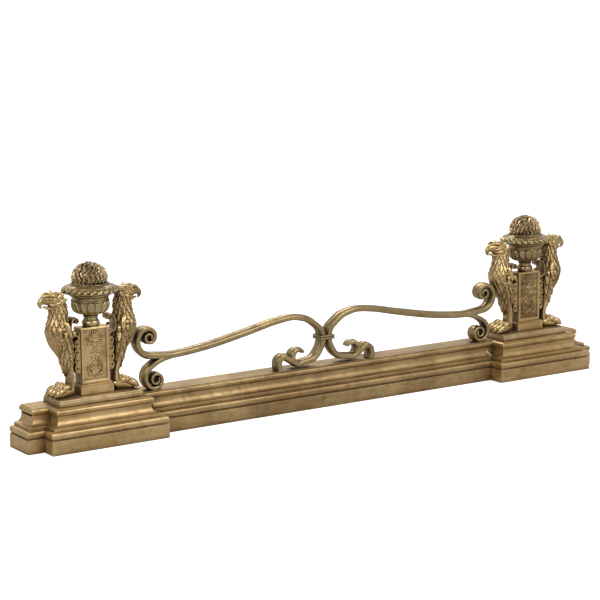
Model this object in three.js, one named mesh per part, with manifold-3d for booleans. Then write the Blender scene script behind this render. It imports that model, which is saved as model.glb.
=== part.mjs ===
// Fire fender in aged brass: a hollow moulded base rail that breaks forward under two plinths, each with
// a pedestal, a covered urn and two griffins back to back, and a scrolled handrail strapped together at
// the middle. Millimetres; +X to the right seen from the front, the front towards -Y, +Z up from the floor.
import * as THREE from "three";
import Module from "manifold-3d";

const wasm = await Module();
wasm.setup();

// ---- Driving sizes: base ----
const fit = 0.3; // clearance between pieces that touch
const length = 1300; // over the end returns
const depth = 108; // plinths, front to back
const plinthWidth = 234;
const plinthBreak = 34; // plinth front ahead of the rail front
const endReturn = 32; // moulding left beyond each plinth
const baseWall = 5;
const blockHeight = 26; // flat block at the foot of the moulding
const grooveHeight = 2;
const grooveDepth = 3;
const torusHeight = 12;
const ledgeInset = 9;
const ledgeHeight = 6;
const cavettoInset = 14; // where the hollow starts
const neckInset = 24;
const cavettoHeight = 14;
const neckHeight = 4;
const beadHeight = 11;
const beadProjection = 4;
const torusArc = 60; // degrees of the round mouldings, either side of level
const beadArc = 55;
const topLip = 1;
const slabSideInset = 34; // socle slab inside the plinth's foot
const slabFront = 35; // slab front behind the plinth's front
const slabBack = 4; // slab back ahead of the plinth's back
const slabHeight = 12;
const slabChamfer = 1;

// ---- Driving sizes: pedestals and urns ----
const chenetBack = 37; // pedestal axis ahead of the plinth's back
const footHalfWidth = 32.5;
const footHalfDepth = 20;
const footHeight = 18.5;
const footBead = 3; // small moulding on top of the foot
const footBeadInset = 2.5;
const shaftHalfWidth = 27.3;
const shaftHalfDepth = 15;
const shaftHeight = 102.5;
const shaftChamfer = 0.8;
const panelHalfWidth = 22.3;
const panelBottom = 7.5; // panel above the foot
const panelTop = 3.5; // panel below the top of the pedestal
const panelDepth = 3;
const reliefBacking = 1;
const reliefHeight = 3.2;
const rodRadius = 4;
const urnFootHeight = 21;
const urnFootRadius = 16.2;
const urnWaistRadius = 12.3;
const urnRingRadius = 13.5; // ring under the bowl
const bowlHeight = 40;
const bowlFootRadius = 13.8;
const bowlRadius = 35.3;
const bowlRimRadius = 40;
const lobeCount = 14;
const lobeDepth = 0.09; // furrows between lobes and eggs, as a share of the radius
const lidHeight = 18;
const lidRadius = 52.5;
const lidNeckRadius = 34.5; // ring under the flame
const eggCount = 24;
const flameHeight = 41;
const flameRadius = 27;
const tongueCount = 7; // in the lowest tier of the flame

// ---- Driving sizes: griffins ----
const griffinWidth = 49; // across the shoulders
const griffinReach = 101; // pedestal axis to the tip of the beak
const griffinHeight = 176; // slab to the top of the brow
const bellyReach = 0.72; // share of the reach that the body fills beside the handrail
const pawReach = 85; // pedestal axis to the toes
const pawWidth = 40;
const bracketWidth = 26;
const bracketStart = 22; // its foot above the pedestal's foot block
const bracketCrookFoot = 11; // below its top
const bracketDrop = 9.6; // its top below the top of the pedestal
const crookReach = 19;
const crookHeight = 31;
const curlCount = 4;
const curlReach = 12.2;
const curlThickness = 3.2;
const curlArc = 108; // degrees of each curl, either side of level

// ---- Driving sizes: handrail ----
const stripWidth = 26;
const stripThickness = 13.5; // at the raised middle band
const stripEdgeThickness = 7.6;
const bandShare = 0.62; // width of the raised band as a share of the strip
const griffinGap = 12.1; // between the upper volute and the griffin's belly
const slabGap = 16.8; // between the lower volute and the socle slab
const upperVoluteRise = 99.5; // its eye above the rail
const upperVoluteRadius = 41.5; // eye to the outer face where the bar comes in
const upperCoil = 15; // radius that the inner turns start from
const eyeOffset = 12; // lower volute's eye nearer the middle than the upper one's
const lowerVoluteRadius = 35;
const lowerCoil = 16.5;
const voluteTurns = 1.8;
const quarterShrink = 0.92; // thickness left after each quarter turn
const crestX = 76;
const crestRise = 101; // middle of the bar above the rail, at the crest
const strapHalfHeight = 4.5;
const strapRise = 55; // middle of the collar above the rail
const strapWall = 3;
const strapGroove = 1;
const hookX = 63;
const hookRadius = 20.5;
const hookClearance = 2.5; // under the hook
const hookStart = -105; // degrees about its own middle
const hookSweep = 248;
const tendrilX = 104;
const tendrilThickness = 9;
const tendrilBulge = 0.7;

// ---- Driving sizes: fixings ----
const screwRadius = 2.4;
const screwHead = 4.4;
const screwHeadHeight = 3;
const screwBite = 5; // how far a screw enters the piece that it holds
const bracketThickness = 4;
const bracketLeg = 36;
const bracketHeight = 18;
const bracketRise = 4;
const nutRadius = 8;
const nutHeight = 7;

// ---- Places that follow from them ----
const plinthSide = length / 2 - endReturn;
const chenetX = plinthSide - plinthWidth / 2;
const plinthFront = -depth / 2;
const plinthBack = depth / 2;
const railFront = plinthFront + plinthBreak;
const chenetY = plinthBack - chenetBack;
const torusBottom = blockHeight + grooveHeight;
const torusMiddle = torusBottom + torusHeight / 2;
const ledgeBottom = torusBottom + torusHeight;
const cavettoBottom = ledgeBottom + ledgeHeight;
const neckBottom = cavettoBottom + cavettoHeight;
const beadBottom = neckBottom + neckHeight;
const beadMiddle = beadBottom + beadHeight / 2;
const baseTop = beadBottom + beadHeight + topLip;
const slabTop = baseTop + slabHeight;
const footTop = slabTop + footHeight;
const shaftTop = footTop + shaftHeight;
const urnFootTop = shaftTop + urnFootHeight;
const bowlTop = urnFootTop + bowlHeight;
const lidTop = bowlTop + lidHeight;
const plinthInner = plinthSide - plinthWidth;
const edge = stripEdgeThickness / 2;

// ---- Solids ----
const brass = (colour, roughness = 0.42) =>
  new THREE.MeshStandardMaterial({ color: colour, roughness, metalness: 0.9 });
const iron = () => new THREE.MeshStandardMaterial({ color: 0x4a4540, roughness: 0.7, metalness: 0.8 });

// One closed surface, its faces turned outwards, as a solid.
function closedSolid(points, triangles) {
  let volume = 0;
  for (const [a, b, c] of triangles) volume += points[a].dot(points[b].clone().cross(points[c])) / 6;
  const faces = volume < 0 ? triangles.map(([a, b, c]) => [a, c, b]) : triangles;
  return new wasm.Manifold(
    new wasm.Mesh({
      numProp: 3,
      vertProperties: new Float32Array(points.flatMap((p) => [p.x, p.y, p.z])),
      triVerts: new Uint32Array(faces.flat()),
    }),
  );
}

// Skin over rings of equal count, with flat ends.
function loft(rings) {
  const count = rings[0].length;
  const points = rings.flat();
  const triangles = [];
  for (let i = 0; i + 1 < rings.length; i++)
    for (let j = 0; j < count; j++) {
      const [a, b] = [i * count + j, i * count + ((j + 1) % count)];
      triangles.push([a, b, b + count], [a, b + count, a + count]);
    }
  for (const [ring, first] of [[rings[0], 0], [rings.at(-1), points.length - count]]) {
    const middle = ring.reduce((sum, p) => sum.add(p), new THREE.Vector3()).divideScalar(count);
    const centre = points.push(middle) - 1;
    for (let j = 0; j < count; j++) {
      const [a, b] = [first + j, first + ((j + 1) % count)];
      triangles.push(first ? [centre, a, b] : [centre, b, a]);
    }
  }
  return closedSolid(points, triangles);
}

const vec = (x, y, z) => new THREE.Vector3(x, y, z);
const around = (count, make) => Array.from({ length: count }, (_, i) => make(i / count, i));
const along = (steps, make) => Array.from({ length: steps + 1 }, (_, i) => make(i / steps, i));
const joined = (solids) => solids.reduce((sum, s) => sum.add(s));

const rectangle = (x0, x1, y0, y1, z) => [vec(x0, y0, z), vec(x1, y0, z), vec(x1, y1, z), vec(x0, y1, z)];
const box = (x0, x1, y0, y1, z0, z1) => loft([rectangle(x0, x1, y0, y1, z0), rectangle(x0, x1, y0, y1, z1)]);

// Upright revolved solid about (x, y) from [radius, height, effect] stops; swell(share of the turn)
// changes a radius as far as its effect says.
const turned = (x, y, outline, count = 20, swell = () => 1) =>
  loft(
    outline.map(([r, z, effect = 0]) =>
      around(count, (t) => {
        const radius = r * (1 + effect * (swell(t) - 1));
        return vec(x + radius * Math.cos(2 * Math.PI * t), y + radius * Math.sin(2 * Math.PI * t), z);
      }),
    ),
  );

// Round bar from one point to another.
function rod(from, to, radius, sides = 6) {
  const axis = to.clone().sub(from).normalize();
  const u = vec(axis.y, axis.z, axis.x).cross(axis).normalize();
  const v = axis.clone().cross(u);
  const ring = (p) =>
    around(sides, (t) =>
      p
        .clone()
        .addScaledVector(u, radius * Math.cos(2 * Math.PI * t))
        .addScaledVector(v, radius * Math.sin(2 * Math.PI * t)),
    );
  return loft([ring(from), ring(to)]);
}

// Tapering limb along stations [x, y, z, half height, half width], the halves in units of girth; it lies
// mostly in the XZ plane.
function limb(stations, sides = 8) {
  const centres = stations.map(([x, y, z]) => vec(x, y, z));
  const rings = stations.map(([, , , tall, wide], i) => {
    const tangent = centres[Math.min(i + 1, centres.length - 1)].clone().sub(centres[Math.max(i - 1, 0)]);
    tangent.normalize();
    const across = vec(0, 1, 0).addScaledVector(tangent, -tangent.y).normalize();
    const up = tangent.clone().cross(across);
    return around(sides, (t) =>
      centres[i]
        .clone()
        .addScaledVector(up, girth * tall * Math.cos(2 * Math.PI * t))
        .addScaledVector(across, girth * wide * Math.sin(2 * Math.PI * t)),
    );
  });
  return loft(rings);
}

// Moulded strip laid along a path of [x, z, edge scale, bulge]: thin edges and a raised middle band.
function strip(path, centreY, grow = 0) {
  const half = stripWidth / 2;
  const band = half * bandShare;
  const rise = stripThickness / 2 - edge;
  const profile = [[-half, 0], [-band, 0.12], [0, 1], [band, 0.12], [half, 0]];
  const rings = path.map(([x, z, scale, bulge], i) => {
    const [ax, az] = path[Math.max(i - 1, 0)];
    const [bx, bz] = path[Math.min(i + 1, path.length - 1)];
    const run = Math.hypot(bx - ax, bz - az);
    const at = ([w, share], side) => {
      const reach = side * (edge * scale + rise * share * bulge + grow);
      const beyond = Math.abs(w) === half ? Math.sign(w) * grow : 0;
      return vec(x - ((bz - az) / run) * reach, centreY + w + beyond, z + ((bx - ax) / run) * reach);
    };
    return [...profile.map((p) => at(p, 1)), ...profile.toReversed().map((p) => at(p, -1))];
  });
  return loft(rings);
}

// Smooth run of full-section path points through [x, z] stops.
function smooth(stops, steps) {
  const curve = new THREE.CatmullRomCurve3(stops.map(([x, z]) => vec(x, 0, z)), false, "centripetal");
  return curve.getPoints(steps).map((p) => [p.x, p.z, 1, 1]);
}

const mirrored = (solid) => solid.mirror([1, 0, 0]);

// ---- Base: one moulding on the rail, the end returns and three sides of each plinth ----
function mouldingProfile(grow = 0) {
  const arc = (cx, cz, rx, rz, from, to, steps) =>
    along(steps, (t) => {
      const a = THREE.MathUtils.degToRad(from + (to - from) * t);
      return [cx + (rx + grow * Math.sign(rx)) * Math.cos(a), cz + rz * Math.sin(a)];
    });
  return [
    [-grow, grow ? -1 : 0],
    [-grow, blockHeight + grow],
    [grooveDepth - grow, blockHeight + grow],
    [grooveDepth - grow, torusBottom - grow],
    ...arc(grooveDepth, torusMiddle, -grooveDepth, torusHeight / 2 + grow, -torusArc, torusArc, 3),
    [ledgeInset - grow, ledgeBottom + grow],
    [ledgeInset - grow, cavettoBottom + grow],
    ...arc(cavettoInset - grow, neckBottom, neckInset - cavettoInset, cavettoHeight - grow, -90, 0, 3).map(
      ([inset, z]) => [Math.min(inset, neckInset - grow), z],
    ),
    [neckInset - grow, beadBottom - grow],
    ...arc(neckInset, beadMiddle, -beadProjection, beadHeight / 2 + grow, -beadArc, beadArc, 3),
    [neckInset - grow, baseTop - topLip + grow],
    [neckInset + (grow ? -grow : topLip), baseTop + grow],
  ];
}

// Block with the moulding on its front and both ends, and a plain back.
const moulded = (left, right, front, back, grow = 0) =>
  loft(
    mouldingProfile(grow).map(([inset, z]) =>
      rectangle(left + inset, right - inset, front + inset, back + grow, z),
    ),
  );

// The hollow inside such a block, open underneath.
const hollow = (left, right, front, back) =>
  loft(
    [
      [baseWall + grooveDepth, -1],
      [baseWall + grooveDepth, torusMiddle],
      [baseWall + neckInset, cavettoBottom + cavettoHeight / 2],
      [baseWall + neckInset, baseTop - baseWall],
    ].map(([inset, z]) => rectangle(left + inset, right - inset, front + inset, back - baseWall, z)),
  );

const grownPlinth = moulded(plinthInner, plinthSide, plinthFront, plinthBack, fit);

const rodHole = (x, y, z0, z1) => rod(vec(x, y, z0), vec(x, y, z1), rodRadius + fit);
const screwHole = (x, y, z) =>
  rod(vec(x, y, z - slabHeight * 2), vec(x, y, z + screwBite + fit), screwRadius + fit);

const griffinScrewReach = pawReach * 0.62;
const chenetHoles = joined([
  rodHole(chenetX, chenetY, 0, slabTop + 1),
  screwHole(chenetX - griffinScrewReach, chenetY, slabTop),
  screwHole(chenetX + griffinScrewReach, chenetY, slabTop),
]);

const plinth = moulded(plinthInner, plinthSide, plinthFront, plinthBack)
  .subtract(hollow(plinthInner, plinthSide, plinthFront, plinthBack))
  .subtract(chenetHoles);

const slab = loft(
  [
    [0, baseTop + fit],
    [0, slabTop - slabChamfer],
    [slabChamfer, slabTop],
  ].map(([inset, z]) =>
    rectangle(
      plinthInner + slabSideInset + inset,
      plinthSide - slabSideInset - inset,
      plinthFront + slabFront + inset,
      plinthBack - slabBack - inset,
      z,
    ),
  ),
).subtract(chenetHoles);

const overlap = neckInset + baseWall; // the rail is cut back from this far inside the plinth
const endReturnPiece = moulded(plinthSide - overlap * 2, length / 2, railFront, plinthBack)
  .subtract(hollow(plinthSide - overlap * 4, length / 2, railFront, plinthBack))
  .subtract(grownPlinth);

// ---- Handrail, right-hand half: the left one is its mirror image ----
// Outer radius of a volute after some quarter turns: it closes in fast, then winds evenly to its eye.
const voluteRadius = (radius, coil, quarter) =>
  coil * (1 - quarter / 13) + (radius - coil) * Math.exp(-0.62 * quarter);

// The volutes stand clear of the griffin above and of its slab below, whichever reaches nearer.
const upperVoluteX = Math.min(
  chenetX - griffinReach * bellyReach - voluteRadius(upperVoluteRadius, upperCoil, 1) - griffinGap,
  plinthInner + slabSideInset - voluteRadius(lowerVoluteRadius, lowerCoil, 1) - slabGap + eyeOffset,
);
const lowerVoluteX = upperVoluteX - eyeOffset;

// Volute about an eye, from its widest point inwards: way is 1 for anticlockwise, from is in quarter turns.
const volute = (x, z, radius, coil, from, way, start, steps) =>
  along(steps, (t) => {
    const quarter = start + (voluteTurns * 4 - start) * t;
    const scale = quarterShrink ** quarter;
    const bulge = Math.exp(-0.7 * quarter);
    const r = voluteRadius(radius, coil, quarter) - edge * scale - (stripThickness / 2 - edge) * bulge;
    const a = (Math.PI / 2) * (from + way * quarter);
    return [x + r * Math.cos(a), z + r * Math.sin(a), scale, bulge];
  });

const upperVoluteZ = baseTop + upperVoluteRise;
const crestZ = baseTop + crestRise;
const strapZ = baseTop + strapRise;
const strapX = stripThickness / 2 + fit / 2;
const hookZ = baseTop + fit + hookClearance + hookRadius;
const barLow = upperVoluteZ - upperVoluteRadius + stripThickness / 2;

// Centre line of a bar, from the eye of its volute over the crest, through the collar to its hook.
function barPath() {
  const span = upperVoluteX - crestX;
  const middle = hookRadius - stripThickness / 2;
  const barDrop = crestZ - barLow;
  const run = [
    [upperVoluteX - span * 0.06, barLow - barDrop * 0.05],
    [upperVoluteX - span * 0.15, barLow - barDrop * 0.08],
    [upperVoluteX - span * 0.38, barLow + barDrop * 0.15],
    [crestX + span * 0.34, crestZ - barDrop * 0.42],
    [crestX + span * 0.13, crestZ - barDrop * 0.08],
    [crestX, crestZ],
    [crestX * 0.68, crestZ - barDrop * 0.075],
    [crestX * 0.36, crestZ - barDrop * 0.37],
    [strapX + stripThickness * 0.3, crestZ - (crestZ - strapZ) * 0.4],
    [strapX, strapZ + strapHalfHeight],
    [strapX, strapZ - strapHalfHeight],
    [strapX + stripThickness * 0.37, strapZ - stripThickness * 1.4],
    [strapX + stripThickness * 1.4, hookZ - middle + stripThickness * 0.5],
  ];
  const hook = along(7, (t) => {
    const a = THREE.MathUtils.degToRad(hookStart + hookSweep * t);
    return [hookX + middle * Math.cos(a), hookZ + middle * Math.sin(a), 1 - 0.45 * t ** 3, 1 - 0.2 * t];
  });
  const scroll = volute(upperVoluteX, upperVoluteZ, upperVoluteRadius, upperCoil, -1, 1, 0, 15).reverse();
  const touching = smooth([scroll.at(-1), ...run, hook[0]], 24);
  for (const point of touching) point[0] = Math.max(point[0], strapX);
  return [...scroll, ...touching.slice(1, -1), ...hook];
}

const bar = strip(barPath(), chenetY);
const barGrown = strip(barPath(), chenetY, fit);

const standingRadius = voluteRadius(lowerVoluteRadius, lowerCoil, 2);
const lowerVoluteZ = baseTop + fit + standingRadius;

// The lower scroll leaves the underside of the bar and winds down onto the rail.
function lowerScrollPath() {
  const scroll = volute(lowerVoluteX, lowerVoluteZ, lowerVoluteRadius, lowerCoil, 1, -1, 0.3, 14);
  const start = [
    [lowerVoluteX - lowerVoluteRadius * 0.94, barLow - stripThickness * 0.25],
    [lowerVoluteX - lowerVoluteRadius * 0.48, barLow - stripThickness * 0.52],
    [lowerVoluteX - lowerVoluteRadius * 0.06, barLow - stripThickness],
  ];
  return [...smooth([...start, scroll[0]], 4).slice(0, -1), ...scroll];
}

// The tendril springs from the outer side of the hook and comes down on the rail.
function tendrilPath() {
  const rise = hookZ - baseTop;
  const foot = baseTop + fit;
  return smooth(
    [
      [hookX + hookRadius - tendrilThickness * 0.9, foot + rise * 0.62],
      [hookX + hookRadius + tendrilThickness * 0.7, foot + rise * 1.02],
      [tendrilX - tendrilThickness, foot + rise * 1.17],
      [tendrilX + tendrilThickness * 0.1, foot + rise * 0.96],
      [tendrilX + tendrilThickness * 0.45, foot + rise * 0.5],
      [tendrilX + tendrilThickness * 0.2, foot],
    ],
    7,
  ).map(([x, z]) => [x, z, tendrilThickness / stripEdgeThickness, tendrilBulge]);
}

const railFloor = box(-length, length, plinthFront, plinthBack, 0, baseTop + fit);
const railScrewPlaces = [tendrilX + tendrilThickness * 0.2, lowerVoluteX];
const railHoles = joined(railScrewPlaces.map((x) => screwHole(x, chenetY, baseTop)));

const lowerScroll = strip(lowerScrollPath(), chenetY).subtract(barGrown).subtract(railHoles);
const tendril = strip(tendrilPath(), chenetY).subtract(barGrown).subtract(railFloor).subtract(railHoles);

// Collar round both bars, with two raised bands and a groove between them.
const collarHalfX = 2 * strapX + strapWall;
const collarHalfY = stripWidth / 2 + strapWall;
const collar = loft(
  [
    [strapGroove, -1],
    [0, -0.8],
    [0, -0.2],
    [strapGroove, 0],
    [0, 0.2],
    [0, 0.8],
    [strapGroove, 1],
  ].map(([inset, share]) =>
    rectangle(
      -collarHalfX + inset,
      collarHalfX - inset,
      chenetY - collarHalfY + inset,
      chenetY + collarHalfY - inset,
      strapZ + share * strapHalfHeight,
    ),
  ),
)
  .subtract(barGrown)
  .subtract(mirrored(barGrown));

// Screw from below: slotless cheese head under a plate whose underside is at z, its shank reaching up.
const screwFromBelow = (x, y, plateBottom, tip) =>
  rod(vec(x, y, plateBottom - fit - screwHeadHeight), vec(x, y, plateBottom - fit), screwHead).add(
    rod(vec(x, y, plateBottom - fit - 1), vec(x, y, tip), screwRadius),
  );

// ---- Base rail, its brackets and screws ----
const bracketX = plinthInner - fit; // foot of the plinth's side
const bracketY = plinthBack - baseWall - fit;
const bracketTop = bracketRise + bracketHeight;
const bracketMiddle = bracketRise + bracketHeight / 2;
const rightBracket = box(
  bracketX - bracketThickness, bracketX, bracketY - bracketLeg, bracketY, bracketRise, bracketTop,
).add(box(bracketX - bracketLeg, bracketX, bracketY - bracketThickness, bracketY, bracketRise, bracketTop));
const plinthScrewY = bracketY - bracketLeg / 2 - bracketThickness;
const railScrewX = bracketX - bracketLeg / 2 - bracketThickness;
const plinthScrewHole = (radius) =>
  rod(
    vec(bracketX - bracketThickness - 1, plinthScrewY, bracketMiddle),
    vec(plinthInner + baseWall * 3, plinthScrewY, bracketMiddle),
    radius,
  );
const backScrewHole = (radius) =>
  rod(
    vec(railScrewX, bracketY - bracketThickness - 1, bracketMiddle),
    vec(railScrewX, plinthBack - baseWall * 0.3, bracketMiddle),
    radius,
  );
const bracket = rightBracket
  .subtract(plinthScrewHole(screwRadius + fit))
  .subtract(backScrewHole(screwRadius + fit));
const screwHeadStart = bracketThickness + fit;
const plinthScrew = rod(
  vec(bracketX - screwHeadStart - screwHeadHeight, plinthScrewY, bracketMiddle),
  vec(bracketX - screwHeadStart, plinthScrewY, bracketMiddle),
  screwHead,
).add(
  rod(
    vec(bracketX - screwHeadStart - 1, plinthScrewY, bracketMiddle),
    vec(plinthInner + baseWall, plinthScrewY, bracketMiddle),
    screwRadius,
  ),
);
const backScrew = rod(
  vec(railScrewX, bracketY - screwHeadStart - screwHeadHeight, bracketMiddle),
  vec(railScrewX, bracketY - screwHeadStart, bracketMiddle),
  screwHead,
).add(
  rod(
    vec(railScrewX, bracketY - screwHeadStart - 1, bracketMiddle),
    vec(railScrewX, plinthBack - baseWall * 0.4, bracketMiddle),
    screwRadius,
  ),
);

const railHalf = plinthInner + overlap * 2;
const frontRail = moulded(-railHalf, railHalf, railFront, plinthBack)
  .subtract(hollow(-railHalf - overlap * 2, railHalf + overlap * 2, railFront, plinthBack))
  .subtract(grownPlinth)
  .subtract(mirrored(grownPlinth))
  .subtract(railHoles)
  .subtract(mirrored(railHoles))
  .subtract(backScrewHole(screwRadius + fit))
  .subtract(mirrored(backScrewHole(screwRadius + fit)));

// ---- Pedestal ----
const pedestalRings = (outline) =>
  loft(
    outline.map(([halfX, halfY, z]) =>
      rectangle(chenetX - halfX, chenetX + halfX, chenetY - halfY, chenetY + halfY, z),
    ),
  );
const stackHole = rodHole(chenetX, chenetY, slabTop, lidTop + flameHeight / 2);

const pedestalFoot = pedestalRings([
  [footHalfWidth, footHalfDepth, slabTop + fit],
  [footHalfWidth, footHalfDepth, footTop - footBead],
  [footHalfWidth - footBeadInset * 0.6, footHalfDepth - footBeadInset * 0.6, footTop - footBead * 0.8],
  [footHalfWidth - footBeadInset * 0.4, footHalfDepth - footBeadInset * 0.4, footTop - footBead * 0.4],
  [footHalfWidth - footBeadInset, footHalfDepth - footBeadInset, footTop],
]).subtract(stackHole);

const panelLow = footTop + panelBottom;
const panelHigh = shaftTop - panelTop;
const shaftFront = chenetY - shaftHalfDepth;
const panelBack = shaftFront + panelDepth;
const panelRecess = box(
  chenetX - panelHalfWidth, chenetX + panelHalfWidth, shaftFront - 1, panelBack, panelLow, panelHigh,
);
const pedestal = pedestalRings([
  [shaftHalfWidth, shaftHalfDepth, footTop + fit],
  [shaftHalfWidth, shaftHalfDepth, shaftTop - shaftChamfer],
  [shaftHalfWidth - shaftChamfer, shaftHalfDepth - shaftChamfer, shaftTop],
])
  .subtract(panelRecess)
  .subtract(stackHole);

// Relief in the panel: a fan of leaves over a rosette over the same fan upside down, on a thin plate.
function leaf(x, z, angle, size, width) {
  const dx = Math.sin(angle);
  const dz = Math.cos(angle);
  const back = panelBack - fit - reliefBacking / 2;
  const ring = (reach, half, lift) => {
    const [cx, cz] = [x + dx * size * reach, z + dz * size * reach];
    return [
      vec(cx - dz * half, back, cz + dx * half),
      vec(cx, back - lift, cz),
      vec(cx + dz * half, back, cz - dx * half),
    ];
  };
  return loft([
    ring(0, width * 0.35, reliefHeight * 0.6),
    ring(0.65, width * 0.5, reliefHeight),
    ring(1, width * 0.2, reliefHeight * 0.5),
  ]);
}
const fan = (z, up, size) =>
  [-1.2, -0.6, 0, 0.6, 1.2].map((a) =>
    leaf(chenetX, z, up > 0 ? a : Math.PI - a, size * (1 - 0.3 * Math.abs(a)), size * 0.34),
  );
const panelMiddle = (panelLow + panelHigh) / 2;
const panelReach = (panelHigh - panelLow) / 2;
const rosette = around(6, (t) =>
  leaf(chenetX, panelMiddle, 2 * Math.PI * t, panelReach * 0.27, panelReach * 0.17),
);
const reliefPlate = box(
  chenetX - panelHalfWidth + fit, chenetX + panelHalfWidth - fit,
  panelBack - fit - reliefBacking, panelBack - fit, panelLow + fit, panelHigh - fit,
);
const relief = joined([
  reliefPlate,
  ...fan(panelMiddle + panelReach * 0.36, 1, panelReach * 0.52),
  ...rosette,
  ...fan(panelMiddle - panelReach * 0.36, -1, panelReach * 0.52),
]);

// ---- Urn ----
const lobes = (count) => (t) => 1 - lobeDepth * (1 - Math.abs(Math.sin(Math.PI * count * t)));
const urnFoot = turned(chenetX, chenetY, [
  [urnFootRadius * 0.93, shaftTop + fit],
  [urnFootRadius, shaftTop + urnFootHeight * 0.18],
  [urnFootRadius, shaftTop + urnFootHeight * 0.36],
  [urnFootRadius * 0.92, shaftTop + urnFootHeight * 0.54],
  [urnWaistRadius, shaftTop + urnFootHeight * 0.68],
  [urnWaistRadius, shaftTop + urnFootHeight * 0.82],
  [urnRingRadius, shaftTop + urnFootHeight * 0.9],
  [urnRingRadius, urnFootTop],
], 16).subtract(stackHole);

const bowl = turned(
  chenetX,
  chenetY,
  [
    [bowlFootRadius * 0.75, urnFootTop + fit, 0],
    [bowlFootRadius, urnFootTop + bowlHeight * 0.02, 1],
    [bowlFootRadius + (bowlRadius - bowlFootRadius) * 0.5, urnFootTop + bowlHeight * 0.07, 1],
    [bowlFootRadius + (bowlRadius - bowlFootRadius) * 0.78, urnFootTop + bowlHeight * 0.16, 1],
    [bowlFootRadius + (bowlRadius - bowlFootRadius) * 0.96, urnFootTop + bowlHeight * 0.32, 1],
    [bowlRadius, urnFootTop + bowlHeight * 0.5, 1],
    [bowlRadius * 0.98, urnFootTop + bowlHeight * 0.62, 1],
    [bowlRadius * 0.93, urnFootTop + bowlHeight * 0.66, 0],
    [bowlRadius * 0.97, urnFootTop + bowlHeight * 0.8, 0],
    [bowlRimRadius * 0.96, urnFootTop + bowlHeight * 0.92, 0],
    [bowlRimRadius, urnFootTop + bowlHeight * 0.95, 0],
    [bowlRimRadius, bowlTop, 0],
  ],
  lobeCount * 2,
  lobes(lobeCount),
).subtract(stackHole);

const lid = turned(
  chenetX,
  chenetY,
  [
    [bowlRimRadius, bowlTop + fit, 0],
    [lidRadius * 0.94, bowlTop + lidHeight * 0.09, 0],
    [lidRadius, bowlTop + lidHeight * 0.2, 1],
    [lidRadius * 0.96, bowlTop + lidHeight * 0.42, 1],
    [lidRadius * 0.84, bowlTop + lidHeight * 0.63, 1],
    [lidRadius * 0.79, bowlTop + lidHeight * 0.69, 0],
    [lidNeckRadius * 1.03, bowlTop + lidHeight * 0.85, 0],
    [lidNeckRadius, lidTop, 0],
  ],
  eggCount * 2,
  lobes(eggCount),
).subtract(stackHole);

// Flame: tiers of bent tongues round a solid heart; outline stations are [outward, upward, sideways, half].
const tongueStations = [
  [0, 0, 0, 0.95],
  [0.8, 0.45, 0.7, 0.85],
  [1, 1, -0.3, 0.12],
];
function tongue(turn, root, reach, base, tall, size) {
  const side = vec(Math.cos(turn), Math.sin(turn), 0);
  const swing = vec(-Math.sin(turn), Math.cos(turn), 0);
  return loft(
    tongueStations.map(([out, up, sway, half]) => {
      const centre = vec(chenetX, chenetY, base + tall * up)
        .addScaledVector(side, root + (reach - root) * out)
        .addScaledVector(swing, size * sway);
      return around(4, (t) =>
        centre
          .clone()
          .addScaledVector(side, half * size * Math.cos(2 * Math.PI * t))
          .addScaledVector(swing, half * size * Math.sin(2 * Math.PI * t)),
      );
    }),
  );
}
const flameBase = lidTop + fit;
const flameTall = flameHeight - fit;
// Tiers from the rim up: [share of tongues, root, reach, base, height, size, turn].
const tiers = [
  [1, 0.75, 1, 0.05, 0.5, 0.26, 0],
  [0.8, 0.5, 0.82, 0.25, 0.52, 0.25, 0.3],
  [0.5, 0.2, 0.42, 0.45, 0.5, 0.24, 0.1],
];
const flame = joined([
  turned(chenetX, chenetY, [
    [flameRadius * 0.85, flameBase],
    [flameRadius * 0.95, flameBase + flameTall * 0.16],
    [flameRadius * 0.93, flameBase + flameTall * 0.45],
    [flameRadius * 0.7, flameBase + flameTall * 0.7],
    [flameRadius * 0.35, flameBase + flameTall * 0.88],
  ], 12),
  ...tiers.flatMap(([share, root, reach, low, tall, size, turn]) =>
    around(Math.round(tongueCount * share), (t) =>
      tongue(
        2 * Math.PI * t + turn,
        flameRadius * root,
        flameRadius * reach,
        flameBase + flameTall * low,
        flameTall * tall,
        flameRadius * size,
      ),
    ),
  ),
  tongue(0, 0, flameRadius * 0.08, flameBase + flameTall * 0.6, flameTall * 0.4, flameRadius * 0.25),
]).subtract(stackHole);

const nutTop = baseTop - baseWall - fit;
const tieRod = rod(
  vec(chenetX, chenetY, nutTop - nutHeight * 1.5),
  vec(chenetX, chenetY, lidTop + flameHeight / 2 - rodRadius / 2),
  rodRadius,
);
const nut = rod(
  vec(chenetX, chenetY, nutTop - nutHeight),
  vec(chenetX, chenetY, nutTop),
  nutRadius,
).subtract(rodHole(chenetX, chenetY, 0, slabTop));

// ---- Griffin: shaped facing +X about its pedestal's axis, heights above the slab ----
const gx = (share) => griffinReach * share;
const gz = (share) => slabTop + fit + griffinHeight * share;
const gy = (share) => (griffinWidth / 2) * share;
const girth = griffinHeight / 100; // unit of a limb's half sizes

// Upright body slices: [height, back, front, half width] as shares of height, reach and half width.
const bodySlices = [
  [0.05, 0.365, 0.58, 0.54],
  [0.16, 0.37, 0.51, 0.52],
  [0.225, 0.405, 0.54, 0.66],
  [0.36, 0.405, 0.615, 0.84],
  [0.46, 0.41, 0.71, 0.93],
  [0.61, 0.45, 0.825, 1],
  [0.69, 0.465, 0.85, 1],
  [0.8, 0.465, 0.815, 0.76],
  [0.87, 0.465, 0.785, 0.62],
  [0.92, 0.49, 0.8, 0.56],
  [0.965, 0.515, 0.87, 0.54],
  [1.01, 0.545, 0.89, 0.5],
  [1.045, 0.6, 0.87, 0.4],
  [1.065, 0.66, 0.8, 0.2],
];

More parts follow.
